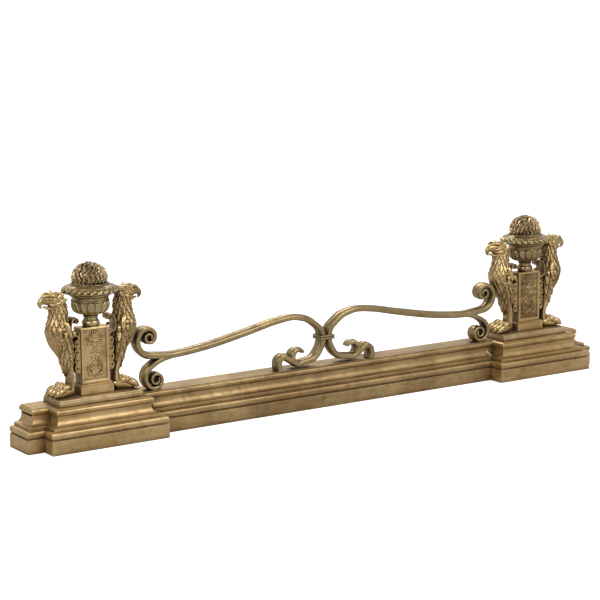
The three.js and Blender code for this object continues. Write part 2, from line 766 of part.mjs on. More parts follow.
function griffinShape() {
  const paw = pawWidth / girth;
  const body = loft(
    bodySlices.map(([high, back, front, wide]) => {
      const [x, half] = [gx((back + front) / 2), gx((front - back) / 2)];
      return around(10, (t) =>
        vec(x + half * Math.cos(2 * Math.PI * t), gy(wide) * Math.sin(2 * Math.PI * t), gz(high)),
      );
    }),
  );
  const beak = limb([
    [gx(0.76), 0, gz(0.985), 5.1, 4.5],
    [gx(0.88), 0, gz(0.995), 4, 3.4],
    [gx(0.95), 0, gz(0.99), 2.6, 2.3],
    [gx(0.985), 0, gz(0.96), 1.5, 1.4],
    [gx(0.965), 0, gz(0.92), 0.5, 0.4],
  ], 6);
  const jaw = limb([
    [gx(0.74), 0, gz(0.935), 2.3, 3.4],
    [gx(0.85), 0, gz(0.92), 1.7, 2.6],
    [gx(0.91), 0, gz(0.925), 0.6, 0.9],
  ], 5);
  const pair = (make) => [make(1), make(-1)];
  const ears = pair((side) =>
    limb([
      [gx(0.66), gy(0.3) * side, gz(1.02), 2.8, 2],
      [gx(0.65), gy(0.4) * side, gz(1.1), 0.5, 0.4],
    ], 4),
  );
  const shoulders = pair((side) =>
    rod(
      vec(gx(0.67), gy(0.7) * side, gz(0.665)),
      vec(gx(0.67), gy(1.07) * side, gz(0.665)),
      gx(0.11),
      8,
    ),
  );
  const wings = pair((side) =>
    limb([
      [gx(0.74), gy(0.95) * side, gz(0.66), 2.9, 2],
      [gx(0.735), gy(0.95) * side, gz(0.54), 2.9, 2],
      [gx(0.6), gy(0.62) * side, gz(0.35), 1.7, 1.4],
    ], 5),
  );
  const forearms = pair((side) =>
    limb([
      [gx(0.62), gy(0.85) * side, gz(0.66), 3.4, 2.8],
      [gx(0.48), gy(0.76) * side, gz(0.63), 3.4, 2.8],
    ], 6),
  );
  const foot = limb([
    [gx(0.37), 0, gz(0.045), 4, paw * 0.22],
    [gx(0.42), 0, gz(0.06), 6.8, paw * 0.32],
    [gx(0.56), 0, gz(0.05), 7.4, paw * 0.42],
    [pawReach * 0.83, 0, gz(0.03), 6.2, paw * 0.44],
    [pawReach * 0.93, 0, gz(0.02), 3.4, paw * 0.38],
  ], 8);
  const toes = [-0.39, -0.13, 0.13, 0.39].map((share) =>
    limb([
      [pawReach * 0.72, pawWidth * share, gz(0.07), 4, paw * 0.11],
      [pawReach * 0.9, pawWidth * share * 1.05, gz(0.045), 3.7, paw * 0.115],
      [pawReach, pawWidth * share * 1.05, gz(0.01), 1.1, paw * 0.05],
    ], 4),
  );
  const floor = box(-length, length, -depth, depth, 0, slabTop + fit);
  const hole = rod(
    vec(griffinScrewReach, 0, 0),
    vec(griffinScrewReach, 0, slabTop + screwBite + fit),
    screwRadius + fit,
  );
  return joined([body, beak, jaw, ...ears, ...shoulders, ...wings, ...forearms, foot, ...toes])
    .subtract(floor)
    .subtract(hole);
}

// Bracket between griffin and pedestal: a crook that the forepaws hold, over a column of small curls.
function bracketShape() {
  const inner = shaftHalfWidth + fit;
  const width = bracketWidth / 2;
  const half = curlThickness / 2;
  const bar = (points, thin = 1) =>
    loft(
      points.map(([x, z], i) => {
        const [ax, az] = points[Math.max(i - 1, 0)];
        const [bx, bz] = points[Math.min(i + 1, points.length - 1)];
        const reach = (half * (1 + ((thin - 1) * i) / (points.length - 1))) / Math.hypot(bx - ax, bz - az);
        const [nx, nz] = [-(bz - az) * reach, (bx - ax) * reach];
        return [
          vec(x + nx, -width, z + nz),
          vec(x + nx, width, z + nz),
          vec(x - nx, width, z - nz),
          vec(x - nx, -width, z - nz),
        ];
      }),
    );
  const low = footTop + bracketStart;
  const high = shaftTop - bracketDrop;
  const pitch = (high - bracketCrookFoot - low) / curlCount;
  const curl = (z) =>
    along(5, (t) => {
      const a = THREE.MathUtils.degToRad(curlArc * (2 * t - 1));
      return [inner + curlReach * (0.35 + 0.5 * Math.cos(a)), z + (pitch / 2 - half) * Math.sin(a)];
    });
  const curls = along(curlCount - 1, (t, i) => bar(curl(low + pitch * (i + 0.5))));
  const strap = bar([
    [inner + half, low],
    [inner + half, high],
  ]);
  const crookStops = [
    [half, -bracketCrookFoot],
    [crookReach * 0.3, -crookHeight * 0.12],
    [crookReach * 0.85, 0],
    [crookReach - half, crookHeight * 0.3],
    [crookReach * 0.84, crookHeight * 0.68],
    [crookReach * 0.5, crookHeight - half],
    [crookReach * 0.22, crookHeight * 0.84],
    [crookReach * 0.34, crookHeight * 0.68],
  ];
  const crook = smooth(
    crookStops.map(([x, z]) => [inner + x, high + z]),
    9,
  );
  return joined([strap, ...curls, bar(crook, 0.55)]);
}

// ---- Assembly ----
const fender = new THREE.Group();
// The urn lids overhang the back of the base: the whole is centred front to back about its own frame.
fender.position.y = -(plinthFront + Math.max(plinthBack, chenetY + lidRadius)) / 2;

function place(name, solid, material) {
  const data = solid.getMesh();
  const count = data.numProp;
  const position = new Float32Array(data.numVert * 3);
  for (let i = 0; i < data.numVert; i++)
    position.set(data.vertProperties.subarray(i * count, i * count + 3), i * 3);
  const geometry = new THREE.BufferGeometry();
  geometry.setAttribute("position", new THREE.BufferAttribute(position, 3));
  geometry.setIndex(new THREE.BufferAttribute(data.triVerts, 1));
  const mesh = new THREE.Mesh(geometry, material);
  mesh.name = name;
  fender.add(mesh);
}

// A right-hand piece and its mirror image on the left.
function placePair(name, solid, material) {
  place(`${name}_right`, solid, material());
  place(`${name}_left`, mirrored(solid), material());
}

const warm = () => brass(0xa8864f);
const dark = () => brass(0x86683b);
const pale = () => brass(0xb89a62, 0.36);

place("front_rail", frontRail, warm());
placePair("end_return", endReturnPiece, warm);
placePair("plinth", plinth.subtract(plinthScrewHole(screwRadius + fit)), warm);
placePair("socle_slab", slab, warm);
placePair("rail_bracket", bracket, iron);
placePair("bracket_screw_plinth", plinthScrew, iron);
placePair("bracket_screw_rail", backScrew, iron);

placePair("pedestal_foot", pedestalFoot, warm);
placePair("pedestal", pedestal, warm);
placePair("panel_relief", relief, pale);
placePair("urn_foot", urnFoot, warm);
placePair("urn_bowl", bowl, pale);
placePair("urn_lid", lid, pale);
placePair("flame_finial", flame, pale);
placePair("tie_rod", tieRod, iron);
placePair("tie_rod_nut", nut, iron);

const griffin = griffinShape();
const scrollBracket = bracketShape();
const inwards = (solid) => mirrored(solid).translate([chenetX, chenetY, 0]);
const outwards = (solid) => solid.translate([chenetX, chenetY, 0]);
placePair("griffin_outer", outwards(griffin), pale);
placePair("griffin_inner", inwards(griffin), pale);
placePair("scroll_bracket_outer", outwards(scrollBracket), dark);
placePair("scroll_bracket_inner", inwards(scrollBracket), dark);
const griffinScrew = (x) => screwFromBelow(x, chenetY, baseTop - baseWall, slabTop + screwBite);
placePair("griffin_screw_outer", griffinScrew(chenetX + griffinScrewReach), iron);
placePair("griffin_screw_inner", griffinScrew(chenetX - griffinScrewReach), iron);

placePair("handrail_bar", bar, warm);
placePair("lower_scroll", lowerScroll, dark);
placePair("tendril", tendril, warm);
place("centre_collar", collar, warm());
["middle", "end"].forEach((where, i) => {
  const screw = screwFromBelow(railScrewPlaces[i], chenetY, baseTop - baseWall, baseTop + screwBite);
  placePair(`rail_screw_${where}`, screw, iron);
});

export default fender;
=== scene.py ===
"""Brass fire fender: the finished surfaces of a cast and bent metal hearth fender, laid over its solid frame.
Sizes are in millimetres in the frame's own axes: X along the length, -Y to the front, Z up from the floor."""

import bpy
import numpy as np
from mathutils import Matrix, Vector


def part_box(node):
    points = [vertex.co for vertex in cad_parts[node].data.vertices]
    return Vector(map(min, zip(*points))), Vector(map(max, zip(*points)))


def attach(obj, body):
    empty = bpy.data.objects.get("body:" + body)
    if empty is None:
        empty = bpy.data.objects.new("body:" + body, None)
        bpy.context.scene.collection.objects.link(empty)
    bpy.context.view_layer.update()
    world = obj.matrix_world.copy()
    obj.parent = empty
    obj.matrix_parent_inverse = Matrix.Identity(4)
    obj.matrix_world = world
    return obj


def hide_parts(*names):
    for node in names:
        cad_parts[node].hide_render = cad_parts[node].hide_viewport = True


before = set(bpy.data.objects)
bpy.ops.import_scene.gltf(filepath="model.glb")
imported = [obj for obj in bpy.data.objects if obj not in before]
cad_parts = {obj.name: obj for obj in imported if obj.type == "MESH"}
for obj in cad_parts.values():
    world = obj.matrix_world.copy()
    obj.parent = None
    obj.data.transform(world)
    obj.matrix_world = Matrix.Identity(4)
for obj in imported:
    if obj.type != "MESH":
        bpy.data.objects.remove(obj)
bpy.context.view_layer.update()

# ---- Base rail -------------------------------------------------------------------------------------------
# The long base is a hollow brass casting with one moulding along its front, open underneath and plain at the
# back. Its ends are coped to the sides of the two plinths and held there by iron angle brackets inside.


def span(node):
    """Lowest and highest corner of a node of the frame, in millimetres."""
    return [np.array(corner) * 1000 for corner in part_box(node)]


def skin(points, around=True, ends=(True, True)):
    """Quads over a grid of points [row, column, xyz]; around joins the last column to the first, and a
    closed end is a fan of triangles from the middle of its row."""
    rows, columns = points.shape[:2]
    index = np.arange(rows * columns).reshape(rows, columns)
    if around:
        index = np.hstack([index, index[:, :1]])
    quads = np.stack([index[:-1, :-1], index[:-1, 1:], index[1:, 1:], index[1:, :-1]], -1).reshape(-1, 4)
    places = points.reshape(-1, 3)
    fans = [np.zeros((0, 3), int)]
    for closed, row, turn in ((ends[0], 0, 1), (ends[1], -1, -1)):
        if closed:
            ring = index[row]
            fan = np.stack([ring[1:], ring[:-1], np.full(len(ring) - 1, len(places))], -1)
            places = np.vstack([places, points[row].mean(0)])
            fans.append(fan[:, ::turn])
    return places, quads, np.vstack(fans)


def facing_out(places, quads, fans):
    """The same closed surface with its faces turned outwards: its volume, summed over faces, is positive."""
    corners = np.vstack([quads[:, :3], quads[:, [0, 2, 3]], fans])
    a, b, c = places[corners[:, 0]], places[corners[:, 1]], places[corners[:, 2]]
    if np.einsum("ij,ij->", a, np.cross(b, c)) < 0:
        return places, quads[:, ::-1], fans[:, ::-1]
    return places, quads, fans


def gathered(values, where, count):
    """Sum of the values at each vertex that they belong to, column by column."""
    return np.stack([np.bincount(where, column, count) for column in values.T], -1)


def raised(places, quads, fans, rounds):
    """How far each vertex stands above the average of the surface round it, in mm: below 0 in a hollow."""
    starts = np.concatenate([quads.ravel(), fans.ravel()])
    stops = np.concatenate([np.roll(quads, -1, 1).ravel(), np.roll(fans, -1, 1).ravel()])
    count = len(places)
    share = 1 / np.maximum(np.bincount(starts, minlength=count) + np.bincount(stops, minlength=count), 1)
    level = places
    for _ in range(rounds):
        around = gathered(level[stops], starts, count) + gathered(level[starts], stops, count)
        level = 0.5 * level + 0.5 * around * share[:, None]
    normal = np.zeros_like(places)
    for faces, (a, b, c, d) in ((quads, (0, 2, 1, 3)), (fans, (0, 1, 0, 2))):
        across = np.cross(places[faces[:, b]] - places[faces[:, a]],
                          places[faces[:, d]] - places[faces[:, c]])
        for column in faces.T:
            normal += gathered(across, column, count)
    normal /= np.linalg.norm(normal, axis=1, keepdims=True) + 1e-9
    return np.einsum("ij,ij->i", places - level, normal)


def cast(name, skins, material, replaced, slot="brass", sharp=38, rounds=10):
    """One piece of one or more closed surfaces, with its height above its surroundings kept as 'raised'."""
    places, quads, fans, heights, at = [], [], [], [], 0
    for one in skins:
        p, q, t = facing_out(*one)
        heights.append(raised(p, q, t, rounds))
        places.append(p)
        quads.append(q + at)
        fans.append(t + at)
        at += len(p)
    places, quads, fans = np.vstack(places), np.vstack(quads), np.vstack(fans)
    mesh = bpy.data.meshes.new(name)
    mesh.vertices.add(len(places))
    mesh.vertices.foreach_set("co", (places * 0.001).astype(np.float32).ravel())
    mesh.loops.add(quads.size + fans.size)
    mesh.loops.foreach_set("vertex_index", np.concatenate([quads.ravel(), fans.ravel()]).astype(np.int32))
    corners = np.concatenate([np.full(len(quads), 4), np.full(len(fans), 3)])
    mesh.polygons.add(len(corners))
    mesh.polygons.foreach_set("loop_start", (np.cumsum(corners) - corners).astype(np.int32))
    mesh.update(calc_edges=True)
    mesh.shade_smooth()
    mesh.set_sharp_from_angle(angle=np.radians(sharp))
    attribute = mesh.attributes.new("raised", "FLOAT", "POINT")
    attribute.data.foreach_set("value", np.concatenate(heights).astype(np.float32))
    mesh.materials.append(material)
    piece = bpy.data.objects.new(name, mesh)
    bpy.context.scene.collection.objects.link(piece)
    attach(piece, "root")
    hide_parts(*replaced)


def mirrored(skins):
    """The same surfaces on the other side of the middle: x changes sign."""
    return [(p * [-1, 1, 1], q, t) for p, q, t in skins]


def cast_pair(node, skins, material, **more):
    """The right-hand piece and its mirror image on the left."""
    cast(f"{node}_cast_right", skins, material, [f"{node}_right"], **more)
    cast(f"{node}_cast_left", mirrored(skins), material, [f"{node}_left"], **more)


def node_in(tree, kind, inputs=None, **settings):
    """A shader node with its settings and its inputs, each a value or another node's output."""
    node = tree.nodes.new("ShaderNode" + kind)
    for key, value in settings.items():
        setattr(node, key, value)
    for key, value in (inputs or {}).items():
        if isinstance(value, bpy.types.NodeSocket):
            tree.links.new(value, node.inputs[key])
        else:
            node.inputs[key].default_value = value
    return node


def mixed(tree, share, a, b):
    """Colour between a and b by share."""
    return node_in(tree, "Mix", {0: share, 6: a, 7: b}, data_type="RGBA").outputs[2]


def ranged(tree, value, low, high, to_low=0.0, to_high=1.0):
    """Value from low..high carried to to_low..to_high and held there beyond."""
    names = {"Value": value, "From Min": low, "From Max": high, "To Min": to_low, "To Max": to_high}
    return node_in(tree, "MapRange", names, interpolation_type="SMOOTHSTEP").outputs[0]


def maths(tree, operation, a, b=0.0, c=0.0, clamp=False):
    """One sum, product or the like of up to three values, held to 0..1 where clamp is set."""
    return node_in(tree, "Math", {0: a, 1: b, 2: c}, operation=operation, use_clamp=clamp).outputs[0]


def noise(tree, where, scale, detail, roughness=0.55, distortion=0.0):
    """Noise of about scale waves to the metre, with its value from 0 to 1."""
    inputs = {"Vector": where, "Scale": scale, "Detail": detail, "Roughness": roughness}
    return node_in(tree, "TexNoise", {**inputs, "Distortion": distortion}).outputs[0]


def linear(red, green, blue):
    """Linear colour of an sRGB colour given in 0..255."""
    values = np.array([red, green, blue]) / 255
    return (*np.where(values <= 0.04045, values / 12.92, ((values + 0.055) / 1.055) ** 2.4), 1.0)


def patina_and_shade_group():
    """Aged surface of cast brass with painted shade: a tone that drifts over the piece, dirt in hollows,
    painted shade from ambient occlusion in creases and where pieces meet, bare metal on what stands proud,
    and a fine casting grain."""
    tree = bpy.data.node_groups.new("brass_patina_and_shade", "ShaderNodeTree")
    colours, strengths = ("Warm", "Pale", "Grime_and_shade"), ("Dirt_and_shade", "Wear", "Mottle", "Smooth", "Depth")
    for names, kind in ((colours, "Color"), (strengths, "Float")):
        for name in names:
            tree.interface.new_socket(name, in_out="INPUT", socket_type="NodeSocket" + kind)
    for name, kind in (("Color", "Color"), ("Roughness", "Float"), ("Height", "Float")):
        tree.interface.new_socket(name, in_out="OUTPUT", socket_type="NodeSocket" + kind)
    given = tree.nodes.new("NodeGroupInput").outputs
    result = tree.nodes.new("NodeGroupOutput").inputs

    def times(a, b, clamp=False):
        return maths(tree, "MULTIPLY", a, b, clamp=clamp)

    where = node_in(tree, "TexCoord").outputs["Object"]
    broad = noise(tree, where, 11.0, 3.0)
    blotch = noise(tree, where, 55.0, 5.0, 0.62, 0.4)
    speck = noise(tree, where, 330.0, 6.0, 0.7)
    grain = noise(tree, where, 900.0, 3.0, 0.6)
    drawn = node_in(tree, "VectorMath", {0: where, 1: (0.13, 1.0, 1.0)}, operation="MULTIPLY").outputs[0]
    streak = noise(tree, drawn, 150.0, 4.0, 0.65)
    drift = maths(tree, "MULTIPLY_ADD", broad, 0.6, times(streak, 0.4))
    tone = mixed(tree, ranged(tree, drift, 0.38, 0.66), given["Warm"], given["Pale"])
    stain = times(ranged(tree, blotch, 0.47, 0.72), given["Mottle"])
    tone = mixed(tree, stain, tone, given["Grime_and_shade"])

    height = node_in(tree, "Attribute", attribute_name="raised").outputs["Fac"]
    sunk = ranged(tree, height, times(given["Depth"], -0.12), times(given["Depth"], -1.0))
    # Painted shade: ambient occlusion darkens creases, recesses and the joins between pieces towards the
    # grime colour, on top of the dirt in the hollows.
    occlusion = node_in(tree, "AmbientOcclusion", {"Distance": 0.016}, samples=8).outputs["AO"]
    sunk = maths(tree, "MAXIMUM", sunk, times(ranged(tree, occlusion, 0.86, 0.3), 0.95))
    ragged = maths(tree, "MULTIPLY_ADD", ranged(tree, speck, 0.35, 0.7), 0.5, 0.62)
    # This mask is real dirt in the hollows together with the painted shade of the occlusion above.
    dirt_and_shade = times(times(sunk, ragged), given["Dirt_and_shade"], clamp=True)
    proud = ranged(tree, height, times(given["Depth"], 0.15), times(given["Depth"], 1.1))
    patchy = ranged(tree, blotch, 0.75, 0.35, 0.45, 1.0)
    wear = times(times(proud, patchy), given["Wear"], clamp=True)
    tree.links.new(mixed(tree, wear, mixed(tree, dirt_and_shade, tone, given["Grime_and_shade"]), given["Pale"]), result["Color"])

    rough = maths(tree, "MULTIPLY_ADD", dirt_and_shade, 0.3, given["Smooth"])
    rough = maths(tree, "ADD", rough, ranged(tree, times(blotch, streak), 0.12, 0.4, -0.05, 0.1))
    tree.links.new(maths(tree, "MULTIPLY_ADD", wear, -0.08, rough), result["Roughness"])
    bumps = maths(tree, "MULTIPLY_ADD", speck, 0.6, times(grain, 0.25))
    tree.links.new(maths(tree, "MULTIPLY_ADD", blotch, 1.2, bumps), result["Height"])
    return tree


patina_and_shade = patina_and_shade_group()


def brass(name, warm, pale, grime_and_shade, dirt_and_shade=1.0, wear=0.8, mottle=0.3, smooth=0.34, depth=0.4, bump=0.12):
    """Brass with the patina and painted shade at this piece's own strengths. The three colours are sRGB in
    0..255, and the grime colour also paints the shade in creases and joins; depth is in mm: the hollows and
    edges that count."""
    material = bpy.data.materials.new(name)
    material.use_nodes = True
    tree = material.node_tree
    shader = tree.nodes["Principled BSDF"]
    aged = node_in(tree, "Group", node_tree=patina_and_shade)
    colours = {"Warm": linear(*warm), "Pale": linear(*pale), "Grime_and_shade": linear(*grime_and_shade)}
    strengths = {"Dirt_and_shade": dirt_and_shade, "Wear": wear, "Mottle": mottle, "Smooth": smooth, "Depth": depth}
    for key, value in {**colours, **strengths}.items():
        aged.inputs[key].default_value = value
    tree.links.new(aged.outputs["Color"], shader.inputs["Base Color"])
    tree.links.new(aged.outputs["Roughness"], shader.inputs["Roughness"])
    shader.inputs["Metallic"].default_value = 0.92
    grain = node_in(tree, "Bump", {"Height": aged.outputs["Height"], "Strength": bump, "Distance": 0.0006})
    tree.links.new(grain.outputs["Normal"], shader.inputs["Normal"])
    return material


def divided(line, step):
    """A line of points with more of them on it, no further apart than step."""
    length = np.append(0, np.cumsum(np.linalg.norm(np.diff(line, axis=0), axis=1)))
    stops = [np.linspace(a, b, max(2, int(np.ceil((b - a) / step)) + 1))
             for a, b in zip(length[:-1], length[1:])]
    at = np.unique(np.concatenate(stops))
    return np.stack([np.interp(at, length, column) for column in line.T], -1)


def eased(line, radius):
    """A line with each corner cut and rounded: three points a little before, inside and after it."""
    before, corner, after = line[:-2], line[1:-1], line[2:]
    back, on = before - corner, after - corner
    share_back = np.minimum(radius / np.linalg.norm(back, axis=1), 0.33)[:, None]
    share_on = np.minimum(radius / np.linalg.norm(on, axis=1), 0.33)[:, None]
    first, last = corner + back * share_back, corner + on * share_on
    inside = 0.5 * corner + 0.25 * (first + last)
    return np.vstack([line[:1], np.stack([first, inside, last], 1).reshape(-1, 2), line[-1:]])


def arc(centre, radii, start, stop, count):
    """Points on an ellipse's arc between two angles in degrees."""
    angle = np.radians(np.linspace(start, stop, count))
    return np.stack([centre[0] + radii[0] * np.cos(angle), centre[1] + radii[1] * np.sin(angle)], -1)


# The moulding as [inset from the front, height]: block, groove, torus, ledge, hollow, neck, bead and lip.
moulding = divided(eased(np.vstack([
    [[1.0, 0.0], [0, 0.8], [0, 26], [3, 26], [3, 28]],
    arc((3, 34), (-3, 6), -60, 60, 11),
    [[9, 40], [9, 46]],
    arc((14, 60), (10, 14), -90, 0, 13),
    [[24, 64]],
    arc((24, 69.5), (-4, 5.5), -55, 55, 11),
    [[24, 75], [25, 76]],
]), 0.5), 2.2)
base_inset, base_z = moulding.T

brass_base = brass("brass_base", (147, 119, 80), (180, 153, 108), (64, 46, 32),
                   dirt_and_shade=0.95, wear=0.3, mottle=0.35, smooth=0.42)
rail_low, rail_high = span("front_rail")
plinth_low, plinth_high = span("plinth_right")
base_top = plinth_high[2]
touch = 0.3  # gap between pieces that meet
wall = 5.0
# The hollow inside, as [inset from the front, height], from the floor up.
hollow_line = np.array([[wall + 3, 0], [wall + 3, 20], [wall + 3, 34], [wall + 24, 53], [wall + 24, 71.0]])
hollow_inset, hollow_z = hollow_line.T
rail_front = np.stack([rail_low[1] + base_inset, base_z], -1)
rail_back = [[rail_high[1] - 1, base_top], [rail_high[1], base_top - 1], [rail_high[1], 0]]
rail_outline = np.vstack([rail_front, divided(np.vstack([rail_front[-1:], rail_back]), 3.0)[1:]])
under = np.vstack([[[rail_high[1] - wall, 0], [rail_high[1] - wall, hollow_z[-1]]],
                   (hollow_line + [rail_low[1], 0])[::-1]])
under_length = np.append(0, np.cumsum(np.linalg.norm(np.diff(under, axis=0), axis=1)))
under_at = np.linspace(0, under_length[-1], len(rail_outline))
rail_under = np.stack([np.interp(under_at, under_length, column) for column in under.T], -1)
section = np.vstack([rail_outline, rail_under])
cope = np.interp(section[:, 1], base_z, base_inset)
cope[:len(base_z)] = base_inset
cope[len(rail_outline):] = 0
rail_run = np.linspace(-1, 1, 241)
rail_points = np.empty((len(rail_run), len(section), 3))
rail_points[:, :, 0] = rail_run[:, None] * (plinth_low[0] + cope - touch)
rail_points[:, :, 1:] = section
rail_places, rail_quads, no_fans = skin(rail_points, ends=(False, False))
# Each end is a strip of quads from the outer line to the line under it, which runs the other way.
outer = np.arange(len(rail_outline))
inner = 2 * len(rail_outline) - 1 - outer
rim = np.stack([outer[:-1], outer[1:], inner[1:], inner[:-1]], -1)
rail_quads = np.vstack([rail_quads, rim[:, ::-1], rim + (len(rail_run) - 1) * len(section)])
cast("front_rail_cast", [(rail_places, rail_quads, no_fans)], brass_base, ["front_rail"])

# ---- Plinths and end returns -----------------------------------------------------------------------------
# Two hollow brass blocks carry the pedestals. The rail's moulding breaks forward round their front and both
# sides, and a short return of it closes each end of the fender. The backs are plain and flat.


def square_ring(front_steps, side_steps, front_share=None):
    """Places round a square from -1 to 1, anticlockwise from its front left corner."""
    s = np.linspace(-1, 1, front_steps + 1)[:-1] if front_share is None else front_share
    e = np.linspace(-1, 1, side_steps + 1)[:-1]
    b = np.linspace(-1, 1, max(front_steps // 2, 2) + 1)[:-1]
    return np.vstack([
        np.stack([s, -np.ones_like(s)], -1), np.stack([np.ones_like(e), e], -1),
        np.stack([-b, np.ones_like(b)], -1), np.stack([-np.ones_like(e), -e], -1),
    ])


def block(x0, x1, y0, y1, z, unit):
    """Rings of a four-sided block: each row of heights z has its own left, right, front and back."""
    x0, x1, y0, y1, z = (np.broadcast_to(v, np.shape(z))[:, None] for v in (x0, x1, y0, y1, z))
    across, deep = (unit[:, 0] + 1) / 2, (unit[:, 1] + 1) / 2
    return np.stack([x0 + (x1 - x0) * across, y0 + (y1 - y0) * deep, z + 0 * across], -1)


def hollow_block(left, right, front, back, outer_unit, inner):
    """Block with a closed top, a hollow from below and a flat rim: outer rings, top, then inner rings."""
    outer = block(left, right, front, back, base_z, outer_unit)
    top = outer[-1]
    middle = top.mean(0)
    lid = middle + (top - middle) * np.array([0.8, 0.5, 0.2])[:, None, None]
    x0, x1, y0, y1, z = inner
    outer_closed = skin(np.concatenate([outer, lid]), ends=(False, True))
    cavity = skin(block(x0, x1, y0, y1, z, outer_unit), ends=(False, True))
    rim = np.arange(len(outer_unit))
    nxt = np.roll(rim, -1)
    at = len(outer_closed[0])
    joint = np.stack([rim, nxt, at + nxt, at + rim], -1)
    places = np.vstack([outer_closed[0], cavity[0]])
    quads = np.vstack([outer_closed[1], cavity[1][:, ::-1] + at, joint[:, ::-1]])
    fans = np.vstack([outer_closed[2], cavity[2][:, ::-1] + at])
    return places, quads, fans


plinth_skin = hollow_block(
    plinth_low[0] + base_inset, plinth_high[0] - base_inset,
    plinth_low[1] + base_inset, plinth_high[1], square_ring(90, 44),
    (plinth_low[0] + hollow_inset, plinth_high[0] - hollow_inset,
     plinth_low[1] + hollow_inset, plinth_high[1] - wall, hollow_z),
)
brass_plinth = brass("brass_plinth", (168, 138, 92), (196, 168, 122), (70, 50, 34),
                     dirt_and_shade=0.95, wear=0.3, smooth=0.42)
cast_pair("plinth", [plinth_skin], brass_plinth)

return_high = span("end_return_right")[1]
return_skin = hollow_block(
    plinth_high[0] - base_inset + touch, return_high[0] - base_inset,
    rail_low[1] + base_inset, plinth_high[1], square_ring(20, 40),
    (plinth_high[0] + touch, return_high[0] - np.minimum(hollow_inset, 24),
     rail_low[1] + hollow_inset, plinth_high[1] - wall, hollow_z),
)
cast_pair("end_return", [return_skin], brass_plinth)

# ---- Socle slabs -----------------------------------------------------------------------------------------
# A plain brass slab with softened edges lies on each plinth under the pedestal and the griffins' feet, and is
# held by the same iron rod that ties the pedestal and urn down.
slab_low, slab_high = span("socle_slab_right")
slab_line = divided(eased(np.array([
    [0.8, slab_low[2]], [0, slab_low[2] + 0.6], [0, slab_high[2] - 4.4], [0.9, slab_high[2] - 3.9],
    [0.9, slab_high[2] - 1], [1.9, slab_high[2]], [14, slab_high[2]],
]), 0.35), 2.0)


def stacked(low, high, line, unit):
    """Closed block whose four sides follow a line of [inset, height] between two corners."""
    inset, z = line.T
    return skin(block(low[0] + inset, high[0] - inset, low[1] + inset, high[1] - inset, z, unit))


brass_slab = brass("brass_slab", (180, 153, 112), (202, 178, 136), (66, 50, 36),
                   dirt_and_shade=0.95, wear=0.4, smooth=0.44)
cast_pair("socle_slab", [stacked(slab_low, slab_high, slab_line, square_ring(60, 26))], brass_slab)

# ---- Handrail --------------------------------------------------------------------------------------------
# Two heavy brass strips with a raised round band down the middle are bent into scrolls. Each runs from a
# volute beside the griffin over a crest to the middle, where a collar straps both together, and ends in a
# hook; a second scroll and a tendril are brazed under it and stand on the rail.
bar_low, bar_high = span("handrail_bar_right")
pedestal_low, pedestal_high = span("pedestal_right")
axis_x, axis_y = ((pedestal_low + pedestal_high) / 2)[:2]
strip_half, strip_thick, strip_edge = (bar_high[1] - bar_low[1]) / 2, 14.4, 4.5  # the last is half an edge
strap_share, lower_girth = 0.93, 0.86  # thickness left at the collar and in the lower scroll
upper_radius, upper_coil = 41.5, 15.0
lower_radius, lower_coil = 35.0, 16.5
volute_quarters = 7.2  # quarter turns from a volute's widest point to its eye


def closing(radius, coil, quarter):
    """Outer radius of a volute: a quick fall from its widest, then an even winding to its eye."""
    return coil * (1 - quarter / 13) + (radius - coil) * np.exp(-0.62 * quarter)


upper_x = bar_high[0] - closing(upper_radius, upper_coil, 1) - 0.1
upper_z = base_top + 99.5
lower_x = upper_x - 12
lower_z = base_top + touch + closing(lower_radius, lower_coil, 2)
bar_under = upper_z - upper_radius + strip_thick / 2
crest_x, crest_z = 76.0, base_top + 101
strap_x, strap_z, strap_half = strip_thick * strap_share / 2 + touch / 2, base_top + 55, 4.5
hook_x, hook_radius = 63.0, 20.5
hook_z = base_top + touch + 2.5 + hook_radius
tendril_x, tendril_thick = 104.0, 9.0


def through(stops, count):
    """Centripetal Catmull-Rom curve through the stops: each stretch is a cubic whose ends lean along the
    neighbouring stops, weighted by the square root of their distances."""
    stops = np.asarray(stops, float)
    stops = np.vstack([2 * stops[0] - stops[1], stops, 2 * stops[-1] - stops[-2]])
    gap = np.sqrt(np.linalg.norm(np.diff(stops, axis=0), axis=1)) + 1e-9
    place = np.linspace(0, len(stops) - 3, count)
    part = np.minimum(place.astype(int), len(stops) - 4)
    t = (place - part)[:, None]
    p0, p1, p2, p3 = (stops[part + k] for k in range(4))
    d0, d1, d2 = (gap[part + k][:, None] for k in range(3))
    lean1 = ((p1 - p0) / d0 - (p2 - p0) / (d0 + d1) + (p2 - p1) / d1) * d1
    lean2 = ((p2 - p1) / d1 - (p3 - p1) / (d1 + d2) + (p3 - p2) / d2) * d1
    step = p2 - p1
    return p1 + lean1 * t + (3 * step - 2 * lean1 - lean2) * t**2 + (lean1 + lean2 - 2 * step) * t**3


def volute(x, z, radius, coil, start_angle, way, start, count, girth=1.0):
    """Rows of x, z, thickness share, bulge share and width share, winding in from the widest point."""
    quarter = np.linspace(start, volute_quarters, count)
    scale, bulge = girth * 0.89**quarter, np.exp(-0.7 * quarter)
    reach = closing(radius, coil, quarter) - strip_edge * scale - (strip_thick / 2 - strip_edge) * bulge
    angle = np.pi / 2 * (start_angle + way * quarter)
    bulge = np.maximum(bulge, 0.42)
    return np.stack([x + reach * np.cos(angle), z + reach * np.sin(angle), scale, bulge, 1 + 0 * scale], -1)


def full(line):
    """Path rows at the strip's full section."""
    return np.hstack([line, np.ones((len(line), 3))])


